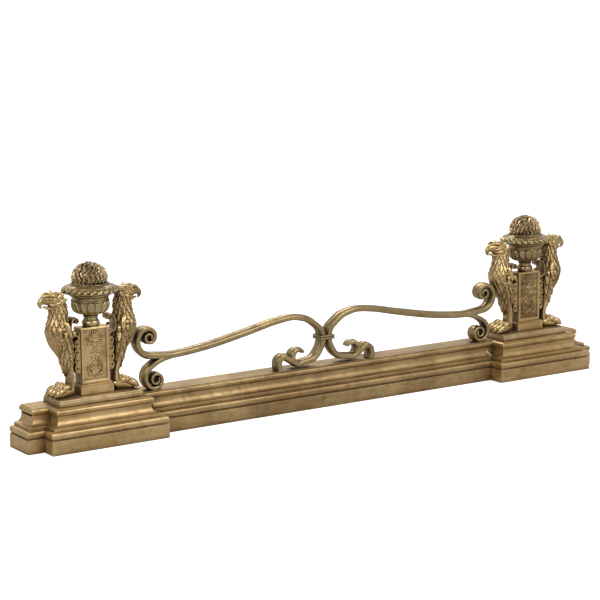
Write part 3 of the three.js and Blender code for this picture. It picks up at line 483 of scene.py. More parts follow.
def strip_across(count):
    """Section of the strip from edge to edge, as place across, thickness share and rise share: rolled edges
    with a bead and a groove each, and a round band between."""
    w = np.sin(np.linspace(-np.pi / 2, np.pi / 2, count)) * 0.35 + np.linspace(-1, 1, count) * 0.65
    reach = np.abs(w)
    edge = np.sqrt(np.clip(1 - np.clip((reach - 0.9) / 0.1, 0, 1) ** 2 * 0.9, 0, 1))
    band = np.where(reach < 0.6, 0.12 + 0.88 * np.cos(np.pi / 2 * np.clip(reach / 0.6, 0, 1)) ** 0.75, 0)
    groove = -0.34 * np.exp(-(((reach - 0.655) / 0.045) ** 2))
    bead = 0.13 * np.exp(-(((reach - 0.83) / 0.1) ** 2))
    return w, edge, band + groove + bead


def strip(path, centre_y, half=strip_half, edge=strip_edge, rise=strip_thick / 2 - strip_edge, count=41):
    """The section carried along a path of [x, z, thickness share, bulge share, width share]: each point
    stands off the path along its normal, above and below."""
    x, z, scale, bulge, width = path.T
    along = np.gradient(path[:, :2], axis=0)
    along /= np.linalg.norm(along, axis=1, keepdims=True)
    w, round_edge, shape = strip_across(count)
    reach = edge * scale[:, None] * round_edge + rise * bulge[:, None] * shape
    reach = np.hstack([reach, -reach[:, ::-1]])
    across = np.concatenate([w, w[::-1]]) * half * width[:, None]
    return skin(np.stack([x[:, None] - along[:, 1:] * reach, centre_y + across,
                          z[:, None] + along[:, :1] * reach], -1))


def rounded_end(path, count=7):
    """A path with its last rows drawn together, so that the strip ends in a rounded edge."""
    t = np.linspace(0, 1, count)[1:, None]
    last, step = path[-1], path[-1, :2] - path[-2, :2]
    tail = np.repeat(last[None], count - 1, 0)
    tail[:, :2] += step / np.linalg.norm(step) * 2.2 * np.sin(t * np.pi / 2)
    tail[:, 2:4] *= np.maximum(np.cos(t * np.pi / 2), 0.08)
    tail[:, 4] -= 0.05 * t[:, 0] ** 2
    return np.vstack([path, tail])


hook_middle = hook_radius - strip_thick * strap_share / 2
span_x, drop = upper_x - crest_x, crest_z - bar_under
upper_scroll = volute(upper_x, upper_z, upper_radius, upper_coil, -1, 1, 0, 170)[::-1]
hook_turn = np.linspace(0, 1, 70)
hook_angle = np.radians(-105 + 248 * hook_turn)
hook = np.stack([hook_x + hook_middle * np.cos(hook_angle), hook_z + hook_middle * np.sin(hook_angle),
                 strap_share * (1 - 0.5 * hook_turn**3), strap_share * (1 - 0.25 * hook_turn),
                 1 - 0.3 * hook_turn**4], -1)
bar_stops = np.array([
    upper_scroll[-1, :2],
    [upper_x - span_x * 0.06, bar_under - drop * 0.06],
    [upper_x - span_x * 0.15, bar_under - drop * 0.12],
    [upper_x - span_x * 0.38, bar_under + drop * 0.06],
    [crest_x + span_x * 0.34, crest_z - drop * 0.5],
    [crest_x + span_x * 0.13, crest_z - drop * 0.12],
    [crest_x, crest_z],
    [crest_x * 0.74, crest_z - drop * 0.07],
    [crest_x * 0.5, crest_z - drop * 0.23],
    [crest_x * 0.3, crest_z - drop * 0.53],
    [strap_x + strip_thick * 0.3, crest_z - (crest_z - strap_z) * 0.65],
    [strap_x + 0.4, strap_z + strap_half],
    [strap_x, strap_z - strap_half],
    [strap_x + strip_thick * 0.37, strap_z - strip_thick * 1.4],
    [strap_x + strip_thick * 1.4, hook_z - hook_middle + strip_thick * 0.5],
    hook[0, :2],
])
bar_line = through(bar_stops, 300)
bar_line[:, 0] = np.maximum(bar_line[:, 0], strap_x)
bar_run = full(bar_line)[1:-1]
drawn_out = np.interp(bar_run[:, 0], [strap_x, crest_x, crest_x + span_x * 0.4], [strap_share, 0.9, 1.0])
bar_run[:, 2:4] = np.where(bar_run[:, 1] < strap_z, strap_share, drawn_out)[:, None]
bar_path = np.vstack([upper_scroll, bar_run, hook])
bar_path = rounded_end(rounded_end(bar_path)[::-1])[::-1]

brass_strip = brass("brass_strip", (134, 114, 78), (170, 148, 106), (48, 41, 36),
                    dirt_and_shade=0.95, wear=0.4, mottle=0.4, smooth=0.33, depth=0.45, bump=0.07)
cast_pair("handrail_bar", [strip(bar_path, axis_y)], brass_strip)

lower_scroll = volute(lower_x, lower_z, lower_radius, lower_coil, 1, -1, 0.3, 160, lower_girth)
split_line = through([
    [lower_x - lower_radius * 0.94, bar_under - strip_thick * 0.4],
    [lower_x - lower_radius * 0.48, bar_under - strip_thick * 0.62],
    [lower_x - lower_radius * 0.06, bar_under - strip_thick],
    lower_scroll[0, :2],
], 60)
split = full(split_line)
split[:, 4] = 0.985 + 0.015 * np.clip(np.linspace(-0.5, 1, 60), 0, 1)
split[:, 2], split[:, 3] = lower_girth, 0.5
lower_scroll[:, 3] = np.maximum(lower_scroll[:, 3], 0.5)
cast_pair("lower_scroll", [strip(rounded_end(np.vstack([split[:-1], lower_scroll])), axis_y)], brass_strip)

rise, foot_z = hook_z - base_top, base_top + touch
tendril_line = through([
    [hook_x + hook_radius - tendril_thick * 0.9, foot_z + rise * 0.62],
    [hook_x + hook_radius + tendril_thick * 0.7, foot_z + rise * 1.02],
    [tendril_x - tendril_thick, foot_z + rise * 1.17],
    [tendril_x + tendril_thick * 0.1, foot_z + rise * 0.96],
    [tendril_x + tendril_thick * 0.45, foot_z + rise * 0.5],
    [tendril_x + tendril_thick * 0.2, foot_z + 0.2],
], 110)
tendril = full(tendril_line)
tendril[:, 2:] = tendril_thick / 2 / strip_edge, 0.7, 0.985
cast_pair("tendril", [strip(tendril, axis_y)], brass_strip)

# ---- Centre collar ---------------------------------------------------------------------------------------
# A cast brass collar with two raised bands and a groove is closed round both strips where they meet.
collar_low, collar_high = span("centre_collar")
collar_rise = np.linspace(-1, 1, 61)
collar_inset = 1.5 * (1 - np.abs(np.sin(np.pi * collar_rise)) ** 0.6)


def rounded_ring(half_x, half_y, radius, steps=10):
    """Closed outline of a rectangle with round corners, anticlockwise from the middle of its right side."""
    quarter = np.vstack([
        np.stack([np.full(steps, half_x), np.linspace(0, half_y - radius, steps, endpoint=False)], -1),
        arc((half_x - radius, half_y - radius), (radius, radius), 0, 90, 9),
        np.stack([np.linspace(half_x - radius, 0, steps + 1)[1:], np.full(steps, half_y)], -1),
    ])
    left = quarter[::-1][1:] * [-1, 1]
    upper = np.vstack([quarter, left])
    return np.vstack([upper[:-1], upper[::-1][:-1] * [1, -1]])


collar_middle, collar_half = (collar_high + collar_low) / 2, (collar_high - collar_low) / 2
collar_flat = np.stack([rounded_ring(*(collar_half[:2] - inset), 2.5) for inset in collar_inset])
collar_tall = np.broadcast_to((collar_rise * collar_half[2])[:, None, None], (*collar_flat.shape[:2], 1))
collar_rings = np.concatenate([collar_flat, collar_tall], -1) + collar_middle
cast("centre_collar_cast", [skin(collar_rings)], brass_strip, ["centre_collar"])

# ---- Pedestals -------------------------------------------------------------------------------------------
# Each pedestal is a cast brass box on a stepped foot. A sunk panel in its front holds a relief of palmettes
# and scrolls round a rosette, cast as a thin plate and soldered in.
foot_low, foot_high = span("pedestal_foot_right")
foot_line = divided(eased(np.array([
    [0.5, foot_low[2]], [0, foot_low[2] + 0.5], [0, foot_high[2] - 3.2], [0.8, foot_high[2] - 2.9],
    [1.7, foot_high[2] - 2.2], [1.0, foot_high[2] - 1.5], [2.6, foot_high[2] - 0.5], [2.8, foot_high[2]],
    [12, foot_high[2]],
]), 0.3), 1.5)
brass_pedestal = brass("brass_pedestal", (182, 149, 102), (204, 174, 126), (58, 44, 32),
                       dirt_and_shade=0.9, wear=0.4, mottle=0.28, smooth=0.38, depth=0.35)
cast_pair("pedestal_foot", [stacked(foot_low, foot_high, foot_line, square_ring(36, 22))], brass_pedestal)

relief_low, relief_high = span("panel_relief_right")
panel_half = (relief_high[0] - relief_low[0]) / 2 + touch
panel_middle = (relief_low[2] + relief_high[2]) / 2
panel_tall = (relief_high[2] - relief_low[2]) / 2 + touch
shaft_z = np.unique(np.concatenate([
    np.linspace(pedestal_low[2], pedestal_high[2], 150),
    panel_middle + np.outer([-1, 1], panel_tall + np.linspace(-2.4, 2.4, 17)).ravel(),
]))
shaft_z = shaft_z[(shaft_z >= pedestal_low[2]) & (shaft_z <= pedestal_high[2])]
shaft_half = (pedestal_high[0] - pedestal_low[0]) / 2
shaft_front = np.unique(np.concatenate([
    np.linspace(-1, 1, 60), np.outer([-1, 1], (panel_half + np.linspace(-2.4, 2.4, 17)) / shaft_half).ravel(),
]))
shaft_front = shaft_front[(shaft_front >= -1) & (shaft_front < 1)]
shaft_inset = np.clip(shaft_z - (pedestal_high[2] - 0.7), 0, 1)
shaft_inset = 0.8 * np.maximum(shaft_inset, np.clip(pedestal_low[2] + 0.5 - shaft_z, 0, 1))
shaft = block(pedestal_low[0] + shaft_inset, pedestal_high[0] - shaft_inset, pedestal_low[1] + shaft_inset,
              pedestal_high[1] - shaft_inset, shaft_z, square_ring(0, 16, shaft_front))


def eased_step(value):
    """0 below 0, 1 above 1 and a smooth rise between."""
    t = np.clip(value, 0, 1)
    return t * t * (3 - 2 * t)


front_face = shaft[:, :len(shaft_front)]
inside = np.minimum(panel_half - np.abs(front_face[..., 0] - axis_x),
                    panel_tall - np.abs(front_face[..., 2] - panel_middle))
front_face[..., 1] += 3.0 * eased_step(inside / 0.9 + 0.5) + 0.35 * np.exp(-(((inside + 1.7) / 0.35) ** 2))
cast_pair("pedestal", [skin(shaft)], brass_pedestal, rounds=6)


def stroke(x, z, line, half_width, height):
    """Height of a rounded stroke: at each place the highest, over the stroke's points, of a half ellipse of
    the stroke's width there."""
    tall = np.zeros_like(x)
    for (cx, cz), half, top in zip(line, np.broadcast_to(half_width, len(line)),
                                   np.broadcast_to(height, len(line))):
        tall = np.maximum(tall, top * np.sqrt(np.clip(1 - ((x - cx) ** 2 + (z - cz) ** 2) / half**2, 0, 1)))
    return tall


def petal(x, z, start, angle, size, half, height, bend=0.0):
    """A petal: a stroke that widens and then comes to a point, bent to one side."""
    t = np.linspace(0, 1, 26)
    turn = np.radians(angle) + bend * t
    line = np.array(start) + np.cumsum(np.stack([np.sin(turn), np.cos(turn)], -1), 0) * size / 26
    return stroke(x, z, line, half * np.sin(np.pi * (0.12 + 0.8 * t)) ** 0.8, height * (0.5 + 0.5 * t))


def curl(x, z, eye, radius, start, turns, way, half, height):
    """A scroll: a stroke that winds in to its eye, with a small boss there."""
    t = np.linspace(0, 1, 60)
    angle = np.radians(start) + way * 2 * np.pi * turns * t
    reach = radius * (1 - t) ** 0.8
    line = np.stack([eye[0] + reach * np.cos(angle), eye[1] + reach * np.sin(angle)], -1)
    return np.maximum(stroke(x, z, line, half * (1 - 0.35 * t), height),
                      stroke(x, z, [eye], half * 1.5, height * 1.15))


def panel_figure(x, z):
    """Height of the relief, in mm, at places x, z from the rosette's middle: the highest of its strokes."""
    x = np.abs(x)
    parts = [stroke(x, z, [(0, 0)], 2.6, 2.6), stroke(x, z, [(0, 0)], 9.9, 0.55)]
    for k in range(8):
        a = np.radians(22.5 + 45 * k)
        parts.append(petal(x, z, (2.2 * np.sin(a), 2.2 * np.cos(a)), np.degrees(a), 7.4, 2.7, 2.1))
    for angle, size in ((0, 20), (14, 19), (29, 17), (45, 14), (64, 11)):
        parts.append(petal(x, z, (0.3, 24.5), angle, size, 1.7, 2.3, 0.35 * np.radians(angle)))
    parts += [
        curl(x, z, (11.5, 30.5), 4.4, -100, 1.4, 1, 1.1, 2.1),
        curl(x, z, (12.6, 20.3), 2.6, 60, 1.2, -1, 1.0, 1.9),
        stroke(x, z, through([[0, 22.5], [4.5, 19.8], [9, 20], [12.4, 23]], 24), 1.15, 1.9),
        stroke(x, z, through([[0.5, 24], [5, 25], [8, 27.5], [10.7, 26.2]], 24), 1.0, 1.9),
        petal(x, z, (0, 20), 180, 9, 2.6, 2.1), petal(x, z, (0, 20.5), 140, 8.5, 1.7, 1.9, -0.5),
        stroke(x, z, [(0, 21.6)], 2.3, 2.4),
        stroke(x, z,
               through([[1.5, -9.5], [6.5, -10.6], [12.6, -17], [14.9, -25], [13.8, -33], [10.2, -38.5]], 70),
               np.linspace(1.7, 1.1, 70), 2.1),
        curl(x, z, (10.6, -35.0), 3.4, -60, 1.2, 1, 1.0, 2.0),
        curl(x, z, (9.6, -26.0), 3.5, 120, 1.3, -1, 1.05, 2.0),
        petal(x, z, (0, -11.5), 180, 10, 3.4, 2.3), petal(x, z, (0.5, -11.5), 150, 11, 1.9, 1.9, -0.6),
        stroke(x, z, through([[2, -19.5], [5.8, -21.5], [7, -27], [5, -31.5]], 30), 1.0, 1.8),
    ]
    for angle, size in ((180, 12.5), (157, 12), (134, 10.5), (112, 8)):
        parts.append(petal(x, z, (0.2, -29.5), angle, size, 1.6, 2.2, -0.35 * np.radians(180 - angle)))
    parts.append(stroke(x, z, [(0, -29)], 2.2, 2.3))
    return np.max(parts, axis=0)


relief_front = np.linspace(-1, 1, 111)[:-1]
relief_z = np.linspace(relief_low[2], relief_high[2], 230)
relief = block(relief_low[0], relief_high[0], pedestal_low[1] + 1.7, pedestal_low[1] + 2.7, relief_z,
               square_ring(0, 2, relief_front))
plate = relief[:, :len(relief_front)]
figure_tall = 45.5  # from the rosette's middle to the end of the relief's figure
figure_scale = min(1.0, panel_tall / figure_tall)
rosette_z = panel_middle + 0.4
plate[..., 1] -= np.minimum(panel_figure((plate[..., 0] - axis_x) / figure_scale,
                                         (plate[..., 2] - rosette_z) / figure_scale), 3.1)
brass_relief = brass("brass_relief", (112, 82, 50), (196, 168, 120), (52, 34, 22),
                     wear=0.95, mottle=0.25, smooth=0.38, depth=0.3, bump=0.2)
cast_pair("panel_relief", [skin(relief)], brass_relief, rounds=8)

# ---- Urns ------------------------------------------------------------------------------------------------
# A covered brass urn stands on each pedestal: a turned foot, a bowl with fourteen gadroons, a lid with a
# slanting egg border, and a cast flame. All four are threaded on one iron rod.
brass_urn = brass("brass_urn", (134, 112, 76), (196, 178, 132), (48, 38, 29), mottle=0.25, smooth=0.3)


def turned(outline, columns, shape=None, step=0.8):
    """Surface of revolution about the pedestal's axis from [radius, height]; shape(radius, height, angle)
    may change the radius and turn the angle."""
    line = divided(np.asarray(outline, float), step)
    angle = np.linspace(0, 2 * np.pi, columns, endpoint=False)
    radius, z = line[:, :1], line[:, 1:]
    turn = np.broadcast_to(angle, (len(line), columns))
    if shape is not None:
        radius, turn = shape(radius, z, turn)
    radius, z = np.broadcast_to(radius, turn.shape), np.broadcast_to(z, turn.shape)
    return skin(np.stack([axis_x + radius * np.cos(turn), axis_y + radius * np.sin(turn), z], -1))


urn_low, urn_high = span("urn_foot_right")
urn_base, urn_tall = urn_low[2], urn_high[2] - urn_low[2]
urn_foot = eased(np.vstack([
    [[9, 0], [14.4, 0], [14.8, 0.8]],
    arc((11.4, 6.4), (4.9, 5.7), -68, 66, 21),
    [[13.4, 11.9]],
    arc((16.2, 15.0), (-3.9, 3.2), -50, 50, 11),
    [[13.6, 17.8]],
    arc((12.6, 19.0), (1.2, 1.1), -80, 80, 9),
    [[12.6, urn_tall - 0.4], [9, urn_tall]],
]) + [0, urn_base], 0.2)
cast_pair("urn_foot", [turned(urn_foot, 96, step=0.6)], brass_urn)

bowl_low, bowl_high = span("urn_bowl_right")
bowl_base, bowl_rim = bowl_low[2], (bowl_high[0] - bowl_low[0]) / 2
lobes, lobe_low, lobe_high = 14, bowl_base + 0.7, bowl_base + 25.6


def gadroons(radius, z, turn):
    """Fourteen round lobes that swell from the foot and end in a round top, with furrows between: the radius
    drops by the distance from the lobe's circle."""
    place = (z - lobe_low) / (lobe_high - lobe_low)
    across = np.abs(((turn * lobes / (2 * np.pi)) % 1) - 0.5) * 2
    top = np.sqrt(np.clip(1 - (np.clip(place - 0.72, 0, 1) / 0.28) ** 2, 0, 1))
    full_width = 0.86 * top
    lobe = np.sqrt(np.clip(1 - (across / np.maximum(full_width, 0.02)) ** 2, 0, 1))
    within = eased_step(place * 9) * (place < 1) * (full_width > 0.02)
    fillet = 0.5 * np.exp(-(((across - 1) / 0.09) ** 2)) * eased_step(4 * (0.95 - place))
    sunk = 2.9 * (1 - lobe * within) - fillet
    return radius - (place > 0) * (place < 1.0) * sunk * eased_step(place * 6), turn


bowl_line = np.vstack([
    [[8, 0], [13.2, 0], [13.6, 0.5]],
    through([[14.2, 0.8], [24.2, 2.8], [30.8, 7.0], [34.6, 13.6], [35.5, 19.6], [34.9, 25.4]], 74),
    [[34.2, 25.8], [34.7, 26.4], [34.2, 27.3], [32.8, 27.6]],
    through([[32.6, 27.9], [33.2, 31.0], [35.2, 34.2], [38.0, 36.1]], 24),
    [[38.2, 36.8]],
    arc((38.4, 38.2), (bowl_rim - 38.4, 1.4), -85, 85, 9),
    [[30, bowl_high[2] - bowl_base]],
]) + [0, bowl_base]
cast_pair("urn_bowl", [turned(bowl_line, lobes * 28, gadroons, 0.55)], brass_urn, rounds=9)

lid_low, lid_high = span("urn_lid_right")
lid_base, lid_tall, lid_rim = lid_low[2], lid_high[2] - lid_low[2], (lid_high[0] - lid_low[0]) / 2
eggs = 24


def egg_border(radius, z, turn):
    """Slanting eggs round the lid's edge: the angle is sheared with height, and each egg is a half ellipse
    across with a deep furrow on either side."""
    place = (z - lid_base - 2.9) / 9.0
    outside = (radius > 38) * eased_step(place * 6) * eased_step((1 - place) * 6)
    across = np.abs(((turn * eggs / (2 * np.pi) + 0.55 * place) % 1) - 0.5) * 2
    oval = np.sqrt(np.clip(1 - (2 * place - 1) ** 2, 0, 1)) * 0.86
    egg = np.sqrt(np.clip(1 - (across / np.maximum(oval, 0.02)) ** 2, 0, 1)) * (oval > 0.05)
    return radius - outside * 2.9 * (1 - egg), turn


lid_line = np.vstack([
    [[34, 0], [39.6, 0], [40.0, 0.5], [48.6, 1.0], [49.4, 1.6], [50.6, 1.7], [51.6, 2.5]],
    arc((lid_rim - 9.6, 3.4), (9.6, 8.6), 0, 74, 30),
    [[44.6, 12.3], [44.2, 11.9], [43.2, 12.5]],
    through([[42.8, 12.6], [39.4, 13.3], [36.8, 14.4], [35.6, 15.2]], 20),
    arc((33.2, 16.3), (1.5, 1.25), -70, 90, 11),
    [[31.6, lid_tall - 0.15], [14, lid_tall]],
]) + [0, lid_base]
cast_pair("urn_lid", [turned(lid_line, eggs * 18, egg_border, 0.55)], brass_urn, rounds=9)

flame_low, flame_high = span("flame_finial_right")
flame_base, flame_radius = flame_low[2], (flame_high[0] - flame_low[0]) / 2
flame_tall = flame_high[2] - flame_base
drawn_radius, drawn_tall = 31.0, 40.7  # of the whole flame round the heart that dome sets out
brass_flame = brass("brass_flame", (136, 112, 80), (204, 182, 140), (46, 36, 28), smooth=0.36, depth=0.6)


def dome(latitude):
    """Radius and height of the flame's heart at a share of the way from its foot to its crown."""
    stops = np.array([[0.0, 25.6, 0.0], [0.1, 27.4, 3.0], [0.26, 28.0, 9.5], [0.45, 26.4, 17.0],
                      [0.62, 22.4, 23.5], [0.78, 16.0, 28.6], [0.92, 7.5, 31.8], [1.0, 0.8, 32.6]])
    scale = np.array([flame_radius / drawn_radius, flame_tall / drawn_tall])
    return np.stack([np.interp(latitude, stops[:, 0], stops[:, k + 1]) * scale[k] for k in (0, 1)], -1)


def lock(turn, low, reach, size, phase, tall):
    """A lock of flame: a ridged tapering horn that climbs the heart, leans from side to side along its length
    as a sine, and lifts away at its pointed tip."""
    t = np.linspace(0, 1, 24)
    out, up = dome(np.minimum(low + reach * t, 1.0)).T
    lift = -0.6 + 1.7 * np.sin(np.pi * np.minimum(t + 0.1, 0.8)) + 1.5 * t**3
    angle = turn + 2.6 * np.sin(2 * np.pi * (0.95 * t + phase)) * (0.5 + 0.5 * t) / np.maximum(out, 6)
    middle = np.stack([(out + lift) * np.cos(angle), (out + lift) * np.sin(angle), up + tall * t**2.5], -1)
    along = np.gradient(middle, axis=0)
    along /= np.linalg.norm(along, axis=1, keepdims=True)
    outward = np.stack([np.cos(angle), np.sin(angle), 0.2 + 0.8 * t], -1)
    outward -= along * np.einsum("ij,ij->i", outward, along)[:, None]
    outward /= np.linalg.norm(outward, axis=1, keepdims=True)
    side = np.cross(along, outward)
    half = size * np.sin(np.pi * (0.2 + 0.79 * t)) ** 0.8
    round_ = np.linspace(0, 2 * np.pi, 12, endpoint=False)
    ridge = np.cos(round_) * (1 + 0.25 * np.cos(3 * round_))
    points = middle[:, None] + half[:, None, None] * (1.05 * outward[:, None] * ridge[None, :, None]
                                                      + 0.8 * side[:, None] * np.sin(round_)[None, :, None])
    return skin(points + [axis_x, axis_y, flame_base])


heart = dome(np.linspace(0, 1, 40))
flame_skins = [turned(np.vstack([[[12, 0.0]], heart]) + [0, flame_base], 60, step=2.0)]
random = np.random.default_rng(7)
# Of each tier: its locks, where they start up the heart, their reach, half width and lift of the tip.
tiers = ((24, 0.0, 0.30, 3.1, 1.5), (22, 0.16, 0.30, 3.0, 2.0), (19, 0.32, 0.30, 2.9, 2.6),
         (15, 0.48, 0.30, 2.8, 3.4), (11, 0.64, 0.26, 2.6, 4.2), (6, 0.78, 0.2, 2.4, 5.4),
         (2, 0.92, 0.08, 2.2, 6.5))
for tier, (count, low, reach, size, tall) in enumerate(tiers):
    for k in range(count):
        wander, bend, start, grow = random.uniform(-1, 1, 4)
        flame_skins.append(lock(2 * np.pi * (k + 0.5 * tier + 0.14 * wander) / count, low + 0.03 * start,
                                reach * (1 + 0.15 * grow), size * (1 + 0.12 * bend),
                                0.4 * tier + 0.1 * bend, tall))
cast_pair("flame_finial", flame_skins, brass_flame, rounds=5)

# ---- Griffins --------------------------------------------------------------------------------------------
# Four cast brass griffins stand back to back against the pedestals: an eagle's head and feathered neck, a
# fluted breast leaf between scrolled shoulders, feathered haunches and one lion's leg and paw, screwed down
# through the slab. u runs forwards from the pedestal's axis, v sideways, z up from the floor.
griffin_foot = slab_high[2] + touch
brass_griffin = brass("brass_griffin", (126, 100, 64), (200, 172, 122), (36, 27, 20),
                      wear=0.85, smooth=0.32, depth=0.36, bump=0.16)


def limb(stops, count=36, sides=20, ripple=None):
    """Rings across a smooth path of stops [u, v, z, half height, half width]: each ring is an ellipse square
    to the path, its width level; ripple(share along, angle) scales it."""
    rows = through(stops, count)
    centre, tall, wide = rows[:, :3], np.abs(rows[:, 3:4]), np.abs(rows[:, 4:5])
    along = np.gradient(centre, axis=0)
    along /= np.linalg.norm(along, axis=1, keepdims=True)
    level = np.array([0, 1.0, 0]) - along * along[:, 1:2]
    level /= np.linalg.norm(level, axis=1, keepdims=True)
    upright = np.cross(along, level)
    angle = np.linspace(0, 2 * np.pi, sides, endpoint=False)[None, :]
    swell = 1.0 if ripple is None else ripple(np.linspace(0, 1, count)[:, None], angle)
    return (centre[:, None] + upright[:, None] * (tall * np.cos(angle) * swell)[..., None]
            + level[:, None] * (wide * np.sin(angle) * swell)[..., None])


def tower(slices, count, columns, square=0.9):
    """Level rings through slices [z, back, front, half width]; each ring is a rounded oblong, with angle 0 at
    its front. Gives the points, and the angle and height of each."""
    rows = through(slices, count)
    z, rear, front, wide = (rows[:, k:k + 1] for k in range(4))
    angle = np.linspace(-np.pi, np.pi, columns, endpoint=False)[None, :]
    cosine, sine = np.cos(angle), np.sin(angle)
    u = (front + rear) / 2 + (front - rear) / 2 * np.sign(cosine) * np.abs(cosine) ** square
    v = wide * np.sign(sine) * np.abs(sine) ** square
    return np.stack([u, v, z + 0 * angle], -1), angle + 0 * z, z + 0 * angle


def pushed(points, height):
    """The same grid with each point moved out along the surface's normal by its height, in mm."""
    down = np.gradient(points, axis=0)
    across = np.roll(points, -1, 1) - np.roll(points, 1, 1)
    normal = np.cross(down, across)
    normal /= np.linalg.norm(normal, axis=2, keepdims=True) + 1e-9
    outward = points - points.mean(1, keepdims=True)
    normal *= np.sign(np.einsum("ijk,ijk->ij", normal, outward).sum())
    return points + normal * height[..., None]


def feathers(across, down, barbs=1.0):
    """Height, 0 to 1, of rows of pointed feathers that lap over each other: each feather rises evenly to its
    tip, has a quill and slanting barbs, and covers the next row's roots where it is wide enough."""
    row = np.floor(down)
    tall = np.zeros_like(down)
    open_ = np.ones_like(down, bool)
    for back in (1, 0):
        along = down - (row - back)
        side = np.mod(across + 0.5 * np.mod(row - back, 2), 1) - 0.5
        half = 0.53 * np.clip(1 - np.clip(along - 0.75, 0, 2) / 1.02, 0, 1) ** 0.62
        covers = open_ & ((np.abs(side) < half) if back else True)
        quill = 0.16 * np.exp(-((side / 0.055) ** 2)) * np.clip(along, 0, 1)
        barb = 0.06 * barbs * np.sin(34 * along - 26 * np.abs(side)) * (np.abs(side) > 0.07)
        arch = 1 - 1.0 * side**2
        tall = np.where(covers, (0.12 + 0.5 * along) * arch + quill + barb, tall)
        open_ &= ~covers
    return tall


def flutes(value):
    """Height, 0 to 1, of round channels between sharp ridges, one to each whole step of value."""
    return 1 - np.sqrt(np.clip(1 - (2 * np.abs(np.mod(value, 1) - 0.5)) ** 2, 0, 1))


breast = np.array([
    [150.0, 61.6, 62.9, 0.5], [152.0, 59.8, 63.6, 2.4], [158.0, 55.4, 66.2, 7.0], [169.0, 50.0, 72.6, 14.0],
    [180.0, 47.0, 79.6, 19.4], [195.0, 45.4, 85.4, 23.0], [205.0, 46.0, 87.2, 23.8],
    [212.0, 47.0, 87.0, 22.4], [220.0, 47.2, 84.8, 19.6], [229.0, 47.2, 82.4, 17.0],
    [241.0, 47.2, 80.4, 15.0], [250.0, 48.4, 79.8, 13.8], [258.0, 50.5, 80.6, 13.0],
    [266.0, 53.6, 82.6, 12.2], [271.5, 58.0, 82.0, 10.0], [275.4, 65.0, 77.0, 4.0],
])
body, body_angle, body_z = tower(breast, 240, 140, 0.92)
girth = np.interp(body_z, breast[:, 0], (breast[:, 3] + (breast[:, 2] - breast[:, 1]) / 2) / 2)
tip_side, tip_up = np.abs(body_angle) * girth, body_z - 148
tip_angle, tip_reach = np.degrees(np.arctan2(tip_side, tip_up)), np.hypot(tip_side, tip_up)
leaf = flutes((tip_angle + 0.62 * tip_reach) / 11.5) * 2.5
leaf *= eased_step(tip_reach / 26) * eased_step((tip_side - 1) / 4.5)
leaf += 1.3 * np.exp(-((tip_side / 1.9) ** 2))
leaf += 1.4 * eased_step((50 - tip_angle - 0.3 * tip_reach) / 3)
neck = feathers(body_angle * 12 / (2 * np.pi), (270 - body_z) / 11.5 + 0.25 * np.cos(body_angle)) * 3.6
ruff = eased_step((body_z - 208.5) / 3)
body = pushed(body, ruff * (neck - 1.7) + (1 - ruff) * (leaf - 1.7))

haunch = np.array([
    [124.0, 52.6, 53.5, 0.5], [126.0, 50.4, 54.6, 2.6], [133.0, 45.4, 56.4, 9.0], [143.0, 42.6, 59.0, 15.2],
    [155.0, 41.4, 61.6, 19.4], [166.0, 41.0, 65.0, 21.8], [180.0, 41.2, 69.4, 22.6],
    [195.0, 43.0, 72.0, 22.0], [206.0, 45.5, 72.0, 19.4], [213.0, 49.0, 68.0, 12.0],
])
thigh, thigh_angle, thigh_z = tower(haunch, 150, 130, 0.95)
thigh_side = np.abs(thigh_angle) * np.interp(thigh_z, haunch[:, 0], haunch[:, 3] * 0.9 + 1)
thigh_turn = np.degrees(np.arctan2(thigh_side, thigh_z - 122))
thigh_reach = np.hypot(thigh_side, thigh_z - 122)
thigh = pushed(thigh,
               feathers(thigh_turn / 15 + 0.012 * thigh_reach, (100 - thigh_reach) / 16, 1.4) * 4.4 - 1.6)

leg, leg_angle, leg_z = tower([
    [94.0, 38.4, 57.0, 13.0], [99.0, 37.8, 56.0, 13.2], [106.0, 37.8, 53.6, 12.6],
    [114.0, 38.0, 52.4, 12.4], [122.0, 38.0, 52.2, 12.8], [131.0, 39.4, 53.0, 14.2],
    [142.0, 41.8, 56.0, 15.0], [152.0, 43.0, 57.0, 14.0], [158.0, 46.0, 55.0, 8.0],
], 60, 48, 0.95)
leg = pushed(leg, 0.9 * np.exp(-((np.abs(leg_angle) - 1.9) / 0.35) ** 2) * eased_step((leg_z - 100) / 8))

paw = limb([
    [38.4, 0, 94, 4, 7.0], [42, 0, 97.0, 9.5, 12.6], [50, 0, 98.6, 11.6, 15.6], [60, 0, 97.0, 10.4, 18.0],
    [68, 0, 94.0, 8.4, 18.6], [75, 0, 92.0, 5.6, 17.6], [80, 0, 90.4, 3.0, 13.0],
], 34, 36)
griffin_parts = [body, thigh, leg, paw]
for side in (-17.4, -5.9, 5.9, 17.4):
    short = 2.6 * (abs(side) > 10)
    griffin_parts.append(limb([
        [53.0 - short, side * 0.74, 102.0, 3.5, 3.6], [58.0 - short, side * 0.84, 105.6, 5.6, 5.2],
        [63.2 - short, side * 0.93, 106.0, 6.2, 5.9], [68.0 - short, side * 0.98, 101.0, 4.6, 4.7],
        [73.4 - short, side * 1.02, 100.6, 6.4, 6.0], [79.0 - short, side * 1.05, 97.4, 6.3, 6.0],
        [83.4 - short, side * 1.06, 93.2, 4.0, 4.2], [85.4 - short, side * 1.06, 91.0, 1.0, 1.2],
    ], 44, 24))
    griffin_parts.append(limb([
        [80.6 - short, side * 1.06, 97.6, 1.4, 1.5], [84.6 - short, side * 1.06, 95.4, 1.9, 1.7],
        [87.4 - short, side * 1.06, 91.6, 1.2, 1.0], [88.0 - short, side * 1.06, 89.2, 0.2, 0.2],
    ], 14, 10))

